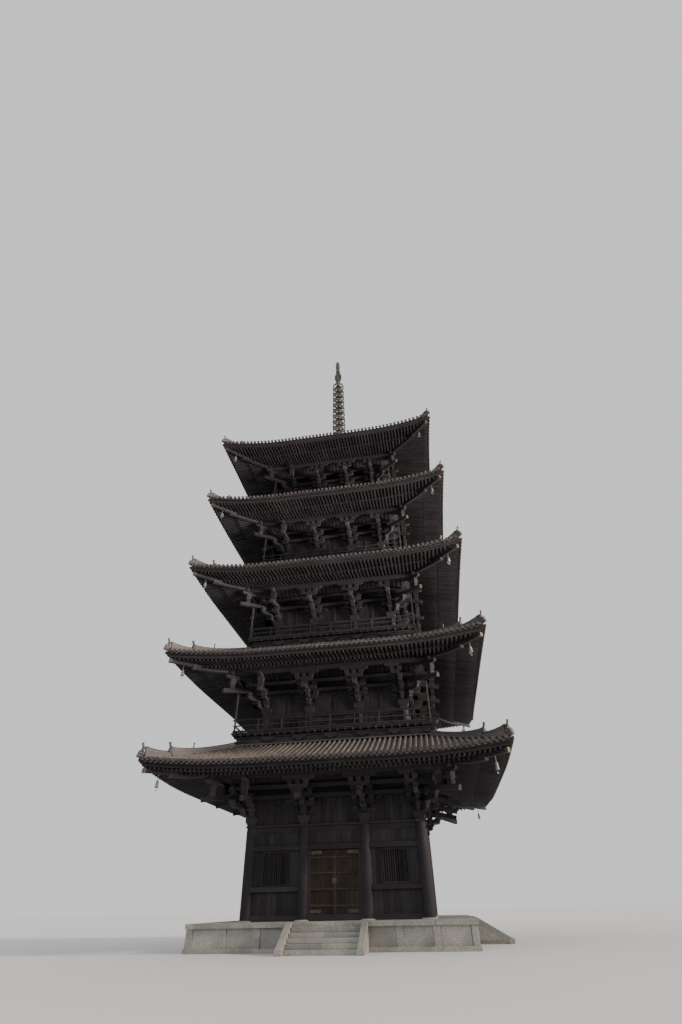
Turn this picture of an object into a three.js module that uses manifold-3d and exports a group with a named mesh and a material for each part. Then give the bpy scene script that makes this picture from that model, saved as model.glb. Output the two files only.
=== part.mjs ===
// Five-storeyed timber pagoda, square in plan, as a 1:2 scale model.
// Every size named below is the real building's, in millimetres. The whole group is scaled once, at the end.
import * as THREE from 'three';
import { mergeVertices } from 'three/addons/utils/BufferGeometryUtils.js';
import Module from 'manifold-3d';

const wasm = await Module();
wasm.setup();

const MODEL_SCALE = 0.5;
const GAP = 0.6;
const SIDE_NAMES = ['front', 'right', 'back', 'left'];
const QUARTER_TURN = Math.PI / 2;
const ROOT_TWO = Math.SQRT2;

// Storeys, from the ground up
const EAVE_HEIGHTS = [7720, 13800, 20050, 26350, 32690];
const FLOOR_HEIGHTS = [1100, 10050, 16250, 22500, 28800];
const SEAT_HEIGHTS = [9310, 15500, 21750, 28050, 39900];
const STOREY_COUNT = EAVE_HEIGHTS.length;
const FIRST_EAVE_HALF = 9760;
const EAVE_INSET = 300;
const FIRST_BODY_HALF = 4740;
const BODY_INSET = 320;
const WALL_TOP_BELOW_EAVE = 2400;

// Podium and its flights of steps
const PODIUM_HEIGHT = FLOOR_HEIGHTS[0];
const PODIUM_HALF = 7000;
const STEP_COUNT = 6;
const STEP_TREAD = 320;
const STEPS_WIDTH = 3300;
const CHEEK_WIDTH = 320;

// Walls: round columns, tie beams, and one door bay between two window bays
const BAY_LINE = 0.36;
const COLUMN_RADIUS = 290;
const UPPER_COLUMN_RADIUS = 200;
const PANEL_THICKNESS = 160;
const UPPER_PANEL_THICKNESS = 210;
const TIE_DEPTH = 420;
const TIE_HEIGHT = 260;
const WINDOW_WIDTH = 1500;
const DOOR_LEAF_THICKNESS = 90;
const DOOR_RECESS = 70;

// Roofs
const TILE_EDGE = 220;
const TILE_BED = 300;
// How far each storey's eaves rise and reach out at the corner, beyond the middle of a side
const CORNER_RISES = [400, 430, 510, 550, 550];
const CORNER_FLARES = [30, 180, 160, 200, 260];
const RISE_START = 0.35;
const RISE_POWER = 2.2;
const RISE_FADE = 1.5;
const EDGE_STATIONS = [-1, -0.85, -0.6, 0.6, 0.85];
const ROOF_SLOPE = 0.36;
const TOP_ROOF_SLOPE = 0.5;
const TOP_ROOF_RISE_RUN = 3600;
const TOP_ROOF_BEND = 5700;
const SEAT_OUT = 1500;
const SEAT_INSET = 240;
const SPIRE_FOOT_Z = SEAT_HEIGHTS[STOREY_COUNT - 1];
const SPIRE_HOLE_HALF = 600;
const CLEAR_OF_SPIRE = 250;
const RIDGE_WIDTH = 360;
const RIDGE_HEIGHT = 240;
const LOWER_RIDGE_HEIGHT = 190;
const RIDGE_END_HEIGHT = 480;
const RIDGE_END_LENGTH = 160;
const RIDGE_BREAK = 1250;
const RIDGE_TIP = 90;
const MAIN_ROW_PITCH = 2360;
const MAIN_ROW_WIDTH = 160;
const MAIN_ROW_HEIGHT = 120;
const MAIN_ROW_MARGIN = 60;
const MAIN_ROW_LEAST = 900;

// Eaves: flying rafters over base rafters, a hip rafter at each corner, and a wind bell under it
const DECK_EDGE = 250;
const DECK_MEETS_TILES = 1500;
const FLYING_TIP = 300;
const FLYING_TIP_DROP = 450;
const FLYING_SLOPE = 0.16;
const BASE_TIP = 1550;
const BASE_TIP_DROP = 420;
const BASE_SLOPE = 0.28;
const DECK_THICKNESS = 250;
const CURB_HALF = 150;
const HIP_RAFTER_DEPTH = 340;
const HIP_RAFTER_WIDTH = 260;
const BELL_INSET = 980;
const BELL_DROP = 320;
const BELL_HEIGHT = 420;
const BELL_RADIUS = 120;

// Three-step brackets and the eave purlin
const PURLIN_OUT = 1900;
const PURLIN_HALF = 110;
const PURLIN_HEIGHT = 280;
const BRACKET_WIDTH = 260;
const BRACKET_WALL_HALF = 120;
const TAIL_OUT = 2300;
const TAIL_UNDERSIDE = 960;
// Each step's reach from the wall line and its underside's height above the wall
const BRACKET_STEPS = [[480, 400], [1040, 820], [TAIL_OUT, TAIL_UNDERSIDE]];
const STEP_SLANT = 80;

// Balconies and railings
const BALCONY_OUT = 1700;
const FLOOR_THICKNESS = 200;
const WAIST_OUT = 1430;
const WAIST_WIDTH = 500;
const RAIL_OUT = 1600;
const RAIL_SIZE = 110;
const RAIL_HEIGHT = 820;
const RAIL_OVERRUN = 150;
const RAIL_CROSSING_DROP = 12;
const RAIL_POSTS = [-0.36, 0.36];

// Spire
const BASIN_HALF = 750;
const BASIN_HEIGHT = 800;
const BOWL_HEIGHT = 600;
const LOTUS_HEIGHT = 400;
const LOTUS_RADIUS = 620;
const RING_COUNT = 9;
const FIRST_RING_Z = 42180;
const LAST_RING_Z = 49830;
const FIRST_RING_RADIUS = 705;
const LAST_RING_RADIUS = 625;
const RING_HEIGHT = 320;
const MAST_RADIUS = 110;
const RING_SIDES = 10;
const MAST_TOP_Z = 50600;
const FLAME_TOP_Z = 52700;
const FLAME_HALF = 400;
const FLAME_THICKNESS = 70;
const SPIRE_TIP_Z = 54800;
const JEWEL_RADIUS = 225;
const JEWEL_NECK = 195;

const timber = { color: 0x2b231d, roughness: 0.85, metalness: 0.0 };
const doorTimber = { color: 0x332922, roughness: 0.8, metalness: 0.0 };
const tile = { color: 0x5a5853, roughness: 0.75, metalness: 0.0 };
const stone = { color: 0x8a857a, roughness: 0.9, metalness: 0.0 };
const bronze = { color: 0x4d544a, roughness: 0.55, metalness: 0.8 };

const pagoda = new THREE.Group();

function addPiece(name, geometry, finish) {
  const mesh = new THREE.Mesh(geometry, new THREE.MeshStandardMaterial(finish));
  mesh.name = name;
  pagoda.add(mesh);
}

// Solids: a closed geometry becomes a solid to join or cut, and comes back as a geometry.
function solidOf(geometry) {
  const bare = geometry.clone();
  bare.deleteAttribute('normal');
  bare.deleteAttribute('uv');
  const merged = mergeVertices(bare, 1e-3);
  const vertProperties = new Float32Array(merged.attributes.position.array);
  const triVerts = new Uint32Array(merged.index.array);
  return new wasm.Manifold(new wasm.Mesh({ numProp: 3, vertProperties, triVerts }));
}

function geometryOf(solid) {
  const mesh = solid.getMesh();
  const geometry = new THREE.BufferGeometry();
  geometry.setAttribute('position', new THREE.BufferAttribute(new Float32Array(mesh.vertProperties), 3));
  geometry.setIndex(new THREE.BufferAttribute(new Uint32Array(mesh.triVerts), 1));
  geometry.computeVertexNormals();
  return geometry;
}

function joined(geometries) {
  let solid = solidOf(geometries[0]);
  for (const geometry of geometries.slice(1)) {
    solid = solid.add(solidOf(geometry));
  }
  return geometryOf(solid);
}

function cutAway(geometry, tools) {
  let solid = solidOf(geometry);
  for (const tool of tools) {
    solid = solid.subtract(solidOf(tool));
  }
  return geometryOf(solid);
}

function block(low, high) {
  const size = high.map((value, axis) => value - low[axis]);
  const geometry = new THREE.BoxGeometry(size[0], size[1], size[2]);
  return geometry.translate((low[0] + high[0]) / 2, (low[1] + high[1]) / 2, (low[2] + high[2]) / 2);
}

// The four sides are the front one turned about the centre.
function turned(geometry, side) {
  return geometry.clone().rotateZ(side * QUARTER_TURN);
}

function onFourSides(geometries) {
  const all = [];
  for (let side = 0; side < 4; side += 1) {
    for (const geometry of geometries) {
      all.push(turned(geometry, side));
    }
  }
  return all;
}

// A plate cut to an outline of [distance out, height] points, which stands square to the front wall.
function outwardPlate(outline, thickness, along = 0) {
  const shape = new THREE.Shape(outline.map(([out, z]) => new THREE.Vector2(out, z)));
  const geometry = new THREE.ExtrudeGeometry(shape, { depth: thickness, bevelEnabled: false });
  geometry.translate(0, 0, -thickness / 2);
  const out = new THREE.Vector3(0, -1, 0);
  const up = new THREE.Vector3(0, 0, 1);
  geometry.applyMatrix4(new THREE.Matrix4().makeBasis(out, up, new THREE.Vector3(-1, 0, 0)));
  return geometry.translate(along, 0, 0);
}

// The same plate on the front right corner's diagonal. Its distances are half-widths of the square plan.
function cornerPlate(outline, thickness) {
  const stretched = outline.map(([out, z]) => [out * ROOT_TWO, z]);
  return outwardPlate(stretched, thickness).rotateZ(Math.PI / 4);
}

// A round solid turned from a profile of [radius, height] points, which starts and ends on the axis.
function lathed(profile, sides) {
  const points = profile.map(([radius, z]) => new THREE.Vector2(radius, z));
  return new THREE.LatheGeometry(points, sides).rotateX(QUARTER_TURN);
}

function squareRing(outer, inner, low, high) {
  const ring = new THREE.Shape();
  ring.moveTo(-outer, -outer).lineTo(outer, -outer).lineTo(outer, outer).lineTo(-outer, outer).closePath();
  const hole = new THREE.Path();
  hole.moveTo(-inner, -inner).lineTo(-inner, inner).lineTo(inner, inner).lineTo(inner, -inner).closePath();
  ring.holes.push(hole);
  return new THREE.ExtrudeGeometry(ring, { depth: high - low, bevelEnabled: false }).translate(0, 0, low);
}

// Curve of the eaves, as a share of the corner's rise: level along the middle, then up to the corner.
function edgeCurve(station) {
  const past = Math.max(0, (Math.abs(station) - RISE_START) / (1 - RISE_START));
  return past ** RISE_POWER;
}

// The same curve on the solid, which is straight from one station to the next.
function edgeCurveOfSolid(station) {
  const ends = [...EDGE_STATIONS, 1];
  const next = ends.findIndex((end, index) => index > 0 && station <= end);
  const low = ends[next - 1];
  const share = (station - low) / (ends[next] - low);
  return edgeCurve(low) + share * (edgeCurve(ends[next]) - edgeCurve(low));
}

// A closed section of [half-width, height, share of the corner's curve] points, carried round the square.
// Each face is split along the diagonal that starts at its outer edge, so that two such skins can nest.
function squareSweep(storey, section) {
  const positions = [];
  const indices = [];
  const count = section.length;
  for (let side = 0; side < 4; side += 1) {
    const cos = Math.round(Math.cos(side * QUARTER_TURN));
    const sin = Math.round(Math.sin(side * QUARTER_TURN));
    for (const station of EDGE_STATIONS) {
      for (const [half, z, share] of section) {
        const curve = share * edgeCurve(station);
        const x = station * (half + curve * storey.cornerFlare);
        const y = -half - curve * storey.cornerFlare;
        positions.push(x * cos - y * sin, x * sin + y * cos, z + curve * storey.cornerRise);
      }
    }
  }
  const stationCount = 4 * EDGE_STATIONS.length;
  for (let j = 0; j < stationCount; j += 1) {
    const here = j * count;
    const next = ((j + 1) % stationCount) * count;
    for (let k = 0; k < count; k += 1) {
      const m = (k + 1) % count;
      if (section[k][0] >= section[m][0]) {
        indices.push(here + k, here + m, next + m, here + k, next + m, next + k);
      } else {
        indices.push(here + k, here + m, next + k, next + k, here + m, next + m);
      }
    }
  }
  const geometry = new THREE.BufferGeometry();
  geometry.setAttribute('position', new THREE.Float32BufferAttribute(positions, 3));
  geometry.setIndex(indices);
  return geometry;
}

// All that one storey's pieces are worked out from.
function storeyOf(index) {
  const eaveZ = EAVE_HEIGHTS[index];
  const eaveHalf = FIRST_EAVE_HALF - EAVE_INSET * index;
  const bodyHalf = FIRST_BODY_HALF - BODY_INSET * index;
  const isTop = index === STOREY_COUNT - 1;
  const seatHalf = isTop ? SPIRE_HOLE_HALF : bodyHalf - BODY_INSET + SEAT_OUT;
  const seatZ = SEAT_HEIGHTS[index];
  const run = eaveHalf - seatHalf;
  const slope = isTop ? TOP_ROOF_SLOPE : ROOF_SLOPE;
  const curve = (seatZ - eaveZ - slope * run) / run ** 2;
  const storey = {
    number: index + 1,
    isTop,
    isFirst: index === 0,
    eaveZ,
    eaveHalf,
    bodyHalf,
    seatHalf,
    seatZ,
    run,
    cornerRise: CORNER_RISES[index],
    cornerFlare: CORNER_FLARES[index],
    riseRun: isTop ? TOP_ROOF_RISE_RUN : run,
    floorZ: FLOOR_HEIGHTS[index],
    wallTopZ: eaveZ - WALL_TOP_BELOW_EAVE,
    columnRadius: index === 0 ? COLUMN_RADIUS : UPPER_COLUMN_RADIUS,
  };
  storey.tileTop = (inward) => eaveZ + slope * inward + curve * inward ** 2;
  storey.tileUnder = (inward) => {
    const thickness = TILE_EDGE + (TILE_BED - TILE_EDGE) * Math.min(1, inward / DECK_MEETS_TILES);
    return storey.tileTop(inward) - thickness;
  };
  storey.riseShare = (inward) => Math.max(0, 1 - inward / storey.riseRun) ** RISE_FADE;
  storey.cornerHalf = (inward) => eaveHalf - inward + storey.cornerFlare * storey.riseShare(inward);
  storey.flyingUnder = (inward) => eaveZ - FLYING_TIP_DROP + FLYING_SLOPE * (inward - FLYING_TIP);
  storey.baseUnder = (inward) => eaveZ - BASE_TIP_DROP + BASE_SLOPE * (inward - BASE_TIP);
  return storey;
}

// Podium and steps
function addPodium() {
  const podium = block([-PODIUM_HALF, -PODIUM_HALF, 0], [PODIUM_HALF, PODIUM_HALF, PODIUM_HEIGHT]);
  addPiece('podium', podium, stone);
  const riser = PODIUM_HEIGHT / STEP_COUNT;
  const flightRun = (STEP_COUNT - 1) * STEP_TREAD;
  const outline = [[PODIUM_HALF, 0]];
  for (let step = 0; step < STEP_COUNT - 1; step += 1) {
    const out = PODIUM_HALF + flightRun - step * STEP_TREAD;
    outline.push([out, step * riser], [out, (step + 1) * riser]);
  }
  outline.push([PODIUM_HALF, (STEP_COUNT - 1) * riser]);
  const cheek = [
    [PODIUM_HALF, 0],
    [PODIUM_HALF + flightRun + CHEEK_WIDTH, 0],
    [PODIUM_HALF + flightRun + CHEEK_WIDTH, riser],
    [PODIUM_HALF + STEP_TREAD / 2, PODIUM_HEIGHT],
    [PODIUM_HALF, PODIUM_HEIGHT],
  ];
  const cheekOffset = (STEPS_WIDTH + CHEEK_WIDTH) / 2 - 1;
  const flight = joined([
    outwardPlate(outline, STEPS_WIDTH),
    outwardPlate(cheek, CHEEK_WIDTH, -cheekOffset),
    outwardPlate(cheek, CHEEK_WIDTH, cheekOffset),
  ]);
  SIDE_NAMES.forEach((side, turn) => addPiece(`${side}_steps`, turned(flight, turn), stone));
}

// Walls
function columnAt(along, out, radius, sides, low, high) {
  const cornerRadius = radius / Math.cos(Math.PI / sides);
  const column = new THREE.CylinderGeometry(cornerRadius, cornerRadius, high - low, sides, 1);
  column.rotateY(Math.PI / sides).rotateX(QUARTER_TURN);
  return column.translate(along, -out, (low + high) / 2);
}

// Heights of the openings, as shares of the wall, of which the low walls of the upper storeys open more.
const DOOR_SILL_SHARE = 0.06;
const OPENING_TOP_SHARE = 0.71;
const WINDOW_SILL_SHARE = 0.34;
const UPPER_OPENING_TOP_SHARE = 0.8;
const UPPER_WINDOW_SILL_SHARE = 0.24;

function openingsOf(storey) {
  const wallHeight = storey.wallTopZ - storey.floorZ;
  const heightAt = (share) => storey.floorZ + share * wallHeight;
  const topZ = heightAt(storey.isFirst ? OPENING_TOP_SHARE : UPPER_OPENING_TOP_SHARE);
  const bay = storey.bodyHalf * BAY_LINE;
  const doorHalf = bay - storey.columnRadius - 130;
  const windowMiddle = (bay + storey.bodyHalf) / 2;
  const windowHalf = Math.min(WINDOW_WIDTH / 2, (storey.bodyHalf - bay) / 2 - storey.columnRadius - 120);
  return {
    doorHalf,
    windowMiddle,
    windowHalf,
    doorLow: heightAt(DOOR_SILL_SHARE),
    doorHigh: topZ,
    windowLow: heightAt(storey.isFirst ? WINDOW_SILL_SHARE : UPPER_WINDOW_SILL_SHARE),
    windowHigh: topZ,
  };
}

function wallOf(storey, panelHalf, columnLines) {
  const { bodyHalf, floorZ, wallTopZ, columnRadius, isFirst } = storey;
  const holes = openingsOf(storey);
  const thickness = isFirst ? PANEL_THICKNESS : UPPER_PANEL_THICKNESS;
  const face = bodyHalf + thickness / 2;
  const back = bodyHalf - thickness / 2;
  const clear = 400;
  const cutter = (middle, half, low, high, depth) => block(
    [middle - half, -face - clear, low],
    [middle + half, -face + depth, high],
  );
  const through = thickness + clear;
  const doorDepth = isFirst ? through : DOOR_RECESS;
  const panelTop = isFirst ? wallTopZ - 1 : wallTopZ;
  const panel = cutAway(block([-panelHalf, -face, floorZ], [panelHalf, -back, panelTop]), [
    cutter(0, holes.doorHalf, holes.doorLow, holes.doorHigh, doorDepth),
    cutter(-holes.windowMiddle, holes.windowHalf, holes.windowLow, holes.windowHigh, through),
    cutter(holes.windowMiddle, holes.windowHalf, holes.windowLow, holes.windowHigh, through),
  ]);
  const pieces = [panel];
  if (isFirst) {
    pieces.push(block(
      [-panelHalf + 1, -bodyHalf - TIE_DEPTH / 2, wallTopZ - TIE_HEIGHT],
      [panelHalf - 1, -bodyHalf + TIE_DEPTH / 2, wallTopZ],
    ));
  }
  const sides = isFirst ? 8 : 6;
  const columnTop = isFirst ? wallTopZ - 2 : wallTopZ;
  const columnOut = isFirst ? bodyHalf : face;
  for (const line of columnLines) {
    pieces.push(columnAt(line, columnOut, columnRadius, sides, floorZ, columnTop));
  }
  return pieces;
}

function addWalls(storey) {
  const { bodyHalf, columnRadius } = storey;
  const bay = bodyHalf * BAY_LINE;
  if (!storey.isFirst) {
    const face = bodyHalf + UPPER_PANEL_THICKNESS / 2;
    const side = wallOf(storey, face, [-face, -bay, bay]);
    addPiece(`storey${storey.number}_walls`, joined(onFourSides(side)), timber);
    return;
  }
  const wide = joined(wallOf(storey, bodyHalf, [-bodyHalf, -bay, bay, bodyHalf]));
  const narrow = joined(wallOf(storey, bodyHalf - columnRadius - GAP, [-bay, bay]));
  SIDE_NAMES.forEach((side, turn) => {
    addPiece(`${side}_wall`, turned(turn % 2 === 0 ? wide : narrow, turn), timber);
  });
}

// Double plank doors: two leaves on one sill, which share a solid where they meet.
function addDoors(storey) {
  const holes = openingsOf(storey);
  const leaf = DOOR_LEAF_THICKNESS / 2;
  const doors = joined([
    block(
      [-holes.doorHalf + GAP, -storey.bodyHalf - leaf, holes.doorLow],
      [holes.doorHalf - GAP, -storey.bodyHalf + leaf, holes.doorHigh - GAP],
    ),
    block(
      [-60, -storey.bodyHalf - leaf - 40, holes.doorLow + 20],
      [60, -storey.bodyHalf - leaf + 1, holes.doorHigh - 20],
    ),
  ]);
  SIDE_NAMES.forEach((side, turn) => addPiece(`${side}_doors`, turned(doors, turn), doorTimber));
}

// Brackets: one stepped plate at each column line, with the tail rafter's nose under the purlin
function bracketOutline(storey) {
  const body = storey.bodyHalf;
  const purlinFoot = purlinTop(storey) - PURLIN_HEIGHT;
  const outline = [];
  let inner = body;
  for (const [reach, underside] of BRACKET_STEPS) {
    outline.push([inner, storey.wallTopZ + underside], [body + reach, storey.wallTopZ + underside]);
    inner = body + reach + STEP_SLANT;
  }
  outline.push([body + PURLIN_OUT + PURLIN_HALF, purlinFoot + 40], [body, purlinFoot + 340]);
  return outline;
}

function purlinTop(storey) {
  const outerEdge = storey.bodyHalf + PURLIN_OUT + PURLIN_HALF;
  return storey.baseUnder(storey.eaveHalf - outerEdge) - GAP;
}

function addBrackets(storey) {
  const { bodyHalf, wallTopZ } = storey;
  const wallRingTop = storey.baseUnder(storey.eaveHalf - bodyHalf - BRACKET_WALL_HALF) - GAP;
  const purlinMiddle = bodyHalf + PURLIN_OUT;
  const high = purlinTop(storey);
  const pieces = [
    squareRing(bodyHalf + BRACKET_WALL_HALF, bodyHalf - BRACKET_WALL_HALF, wallTopZ, wallRingTop),
    squareRing(purlinMiddle + PURLIN_HALF, purlinMiddle - PURLIN_HALF, high - PURLIN_HEIGHT, high),
  ];
  const outline = bracketOutline(storey);
  const bay = bodyHalf * BAY_LINE;
  const plates = [-bay, bay].map((along) => outwardPlate(outline, BRACKET_WIDTH, along));
  plates.push(cornerPlate(outline, BRACKET_WIDTH));
  pieces.push(...onFourSides(plates));
  addPiece(`storey${storey.number}_brackets`, joined(pieces), timber);
}

// Eaves: the rafters and boards as one stepped deck, with a curb over the wall that carries the roof
function addEaves(storey) {
  const { eaveHalf, bodyHalf } = storey;
  const purlinLine = eaveHalf - bodyHalf - PURLIN_OUT - CURB_HALF - PURLIN_HALF;
  const curbOut = eaveHalf - bodyHalf - CURB_HALF;
  const curbIn = eaveHalf - bodyHalf + CURB_HALF;
  const curbTop = (inward) => (storey.isTop ? storey.tileUnder(inward) : storey.seatZ - TILE_BED) - GAP;
  const at = (inward, z) => [eaveHalf - inward, z, storey.riseShare(inward)];
  const level = (inward, z) => [eaveHalf - inward, z, 0];
  const section = [
    at(FLYING_TIP, storey.flyingUnder(FLYING_TIP)),
    at(BASE_TIP, storey.flyingUnder(BASE_TIP)),
    at(BASE_TIP, storey.baseUnder(BASE_TIP)),
    level(purlinLine, storey.baseUnder(purlinLine)),
    level(curbIn, storey.baseUnder(curbIn)),
    level(curbIn, curbTop(curbIn)),
    level(curbOut, curbTop(curbOut)),
    level(curbOut, storey.baseUnder(curbOut) + DECK_THICKNESS),
    at(DECK_MEETS_TILES, storey.tileUnder(DECK_MEETS_TILES) - GAP),
    at(DECK_EDGE, storey.tileUnder(DECK_EDGE) - GAP),
  ];
  const cornerUnder = (inward) => storey.flyingUnder(inward) + storey.cornerRise * storey.riseShare(inward);
  const hipEnd = eaveHalf - bodyHalf - TAIL_OUT - 120;
  const hipEndTop = storey.baseUnder(hipEnd) + DECK_THICKNESS / 2;
  const tipBottom = cornerUnder(FLYING_TIP) - HIP_RAFTER_DEPTH;
  const hipTip = storey.cornerHalf(FLYING_TIP) - 20;
  const hipOutline = [
    [hipTip, cornerUnder(FLYING_TIP) + 120],
    [hipTip, tipBottom],
    [storey.cornerHalf(BASE_TIP), cornerUnder(BASE_TIP) - HIP_RAFTER_DEPTH],
    [eaveHalf - hipEnd, storey.baseUnder(hipEnd) - HIP_RAFTER_DEPTH / 2],
    [eaveHalf - hipEnd, hipEndTop],
    [storey.cornerHalf(BASE_TIP), cornerUnder(BASE_TIP) + 120],
  ];
  const hookZ = cornerUnder(BELL_INSET) - HIP_RAFTER_DEPTH + 30;
  const bellTop = hookZ - BELL_DROP;
  const bellMouth = bellTop - BELL_HEIGHT;
  const hook = BELL_RADIUS * 0.2;
  const bellProfile = [[0, bellMouth], [BELL_RADIUS, bellMouth], [hook, bellTop], [hook, hookZ], [0, hookZ]];
  const bell = lathed(bellProfile, 5);
  bell.translate(storey.cornerHalf(BELL_INSET), -storey.cornerHalf(BELL_INSET), 0);
  const corner = [cornerPlate(hipOutline, HIP_RAFTER_WIDTH), bell];
  addPiece(`roof${storey.number}_eaves`, joined([squareSweep(storey, section), ...onFourSides(corner)]), timber);
}

// Tiled roof with a hip ridge in two steps at each corner, each step ending in an upright ornament
function ridgeOutline(storey, inner) {
  const surface = (inward) => storey.tileTop(inward) + storey.cornerRise * storey.riseShare(inward);
  const at = (inward, above) => [storey.cornerHalf(inward), surface(inward) + above];
  const middle = (RIDGE_BREAK + inner) / 2;
  const upperEnd = RIDGE_BREAK + RIDGE_END_LENGTH;
  const lowerEnd = RIDGE_TIP + RIDGE_END_LENGTH;
  return [
    at(inner, RIDGE_HEIGHT),
    at(middle, RIDGE_HEIGHT),
    at(upperEnd, RIDGE_HEIGHT),
    at(upperEnd, RIDGE_END_HEIGHT),
    at(RIDGE_BREAK, RIDGE_END_HEIGHT),
    at(RIDGE_BREAK, LOWER_RIDGE_HEIGHT),
    at(lowerEnd, LOWER_RIDGE_HEIGHT),
    at(lowerEnd, RIDGE_END_HEIGHT),
    at(RIDGE_TIP, RIDGE_END_HEIGHT),
    at(RIDGE_TIP, -100),
    at(RIDGE_BREAK, -180),
    at(middle, -180),
    at(inner, -180),
  ];
}

// Every eighth row of round tiles is a rib, which runs from the eave up to the seat or to the hip ridge.
function mainRows(storey) {
  const { eaveHalf, run, isTop } = storey;
  const bends = isTop ? [DECK_MEETS_TILES, TOP_ROOF_RISE_RUN, TOP_ROOF_BEND] : [];
  const outerEnd = MAIN_ROW_MARGIN;
  const rows = [];
  const count = Math.floor((eaveHalf - MAIN_ROW_LEAST) / MAIN_ROW_PITCH);
  for (let row = -count; row <= count; row += 1) {
    const along = row * MAIN_ROW_PITCH;
    const besideRidge = Math.abs(along) + MAIN_ROW_WIDTH / 2 + RIDGE_WIDTH / ROOT_TWO + MAIN_ROW_MARGIN;
    const innerEnd = Math.min(run - (isTop ? CLEAR_OF_SPIRE : MAIN_ROW_MARGIN), eaveHalf - besideRidge);
    if (innerEnd - outerEnd < MAIN_ROW_LEAST) {
      continue;
    }
    const surface = (inward) => {
      const curve = storey.riseShare(inward) * edgeCurveOfSolid(along / (eaveHalf - inward));
      return [eaveHalf - inward + curve * storey.cornerFlare, storey.tileTop(inward) + curve * storey.cornerRise];
    };
    const stations = [outerEnd, ...bends.filter((bend) => bend < innerEnd - MAIN_ROW_LEAST / 2), innerEnd];
    const top = stations.map(surface).map(([out, z]) => [out, z + MAIN_ROW_HEIGHT]);
    const bottom = stations.map(surface).map(([out, z]) => [out, z - MAIN_ROW_HEIGHT]).reverse();
    rows.push(outwardPlate([...top, ...bottom], MAIN_ROW_WIDTH, along));
  }
  return rows;
}

function addTiles(storey) {
  const { eaveHalf, bodyHalf, run, seatZ, isTop } = storey;
  const top = (inward) => [eaveHalf - inward, storey.tileTop(inward), storey.riseShare(inward)];
  const under = (inward) => [eaveHalf - inward, storey.tileUnder(inward), storey.riseShare(inward)];
  const curbOut = eaveHalf - bodyHalf - CURB_HALF;
  const curbIn = eaveHalf - bodyHalf + CURB_HALF;
  const seatInner = bodyHalf - SEAT_INSET;
  const section = isTop
    ? [
      under(0), under(DECK_EDGE), under(DECK_MEETS_TILES), under(TOP_ROOF_RISE_RUN),
      under(curbOut), under(curbIn), [SPIRE_HOLE_HALF, seatZ - TILE_BED, 0],
      top(run), top(TOP_ROOF_BEND), top(TOP_ROOF_RISE_RUN), top(DECK_MEETS_TILES), top(0),
    ]
    : [
      under(0), under(DECK_EDGE), under(DECK_MEETS_TILES), under(run),
      [seatInner, seatZ - TILE_BED, 0], [seatInner, seatZ, 0],
      top(run), top(DECK_MEETS_TILES), top(0),
    ];
  const ridgeInner = isTop ? run - CLEAR_OF_SPIRE : eaveHalf - bodyHalf - WAIST_OUT + BODY_INSET - 20;
  const ridge = cornerPlate(ridgeOutline(storey, ridgeInner), RIDGE_WIDTH);
  const onRoof = onFourSides([ridge, ...mainRows(storey)]);
  addPiece(`roof${storey.number}_tiles`, joined([squareSweep(storey, section), ...onRoof]), tile);
}

// Balcony floor on its waist, and the railing round it. The top rails of two sides cross a little below those
// of the other two. The railing's corner posts run on up as props under the corner brackets.
function addBalcony(storey, below) {
  const { number, bodyHalf, floorZ, wallTopZ } = storey;
  const slabHalf = bodyHalf + BALCONY_OUT;
  const slabLow = floorZ - FLOOR_THICKNESS;
  const waistHalf = bodyHalf + WAIST_OUT;
  const floor = joined([
    block([-slabHalf, -slabHalf, slabLow], [slabHalf, slabHalf, floorZ]),
    squareRing(waistHalf, waistHalf - WAIST_WIDTH, below.seatZ, slabLow + 1),
  ]);
  addPiece(`balcony${number}_floor`, floor, timber);

  const railHalf = bodyHalf + RAIL_OUT - RAIL_SIZE / 2;
  const halfRail = RAIL_SIZE / 2;
  const inset = halfRail - 5;
  const groundRail = squareRing(railHalf + halfRail, railHalf - halfRail, floorZ, floorZ + RAIL_SIZE);
  const topRail = (drop) => block(
    [-railHalf - RAIL_OVERRUN, -railHalf - halfRail, floorZ + RAIL_HEIGHT - RAIL_SIZE - drop],
    [railHalf + RAIL_OVERRUN, -railHalf + halfRail, floorZ + RAIL_HEIGHT - drop],
  );
  const topRails = [0, 1, 2, 3].map((turn) => turned(topRail((turn % 2) * RAIL_CROSSING_DROP), turn));
  const post = (along, top) => block(
    [along - inset, -railHalf - inset, floorZ + RAIL_SIZE - 1],
    [along + inset, -railHalf + inset, top],
  );
  const underRail = floorZ + RAIL_HEIGHT - RAIL_SIZE + 1;
  const prop = post(railHalf, wallTopZ + TAIL_UNDERSIDE - GAP);
  const posts = onFourSides([prop, ...RAIL_POSTS.map((share) => post(share * railHalf, underRail))]);
  addPiece(`balcony${number}_railing`, joined([groundRail, ...topRails, ...posts]), timber);
}

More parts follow.
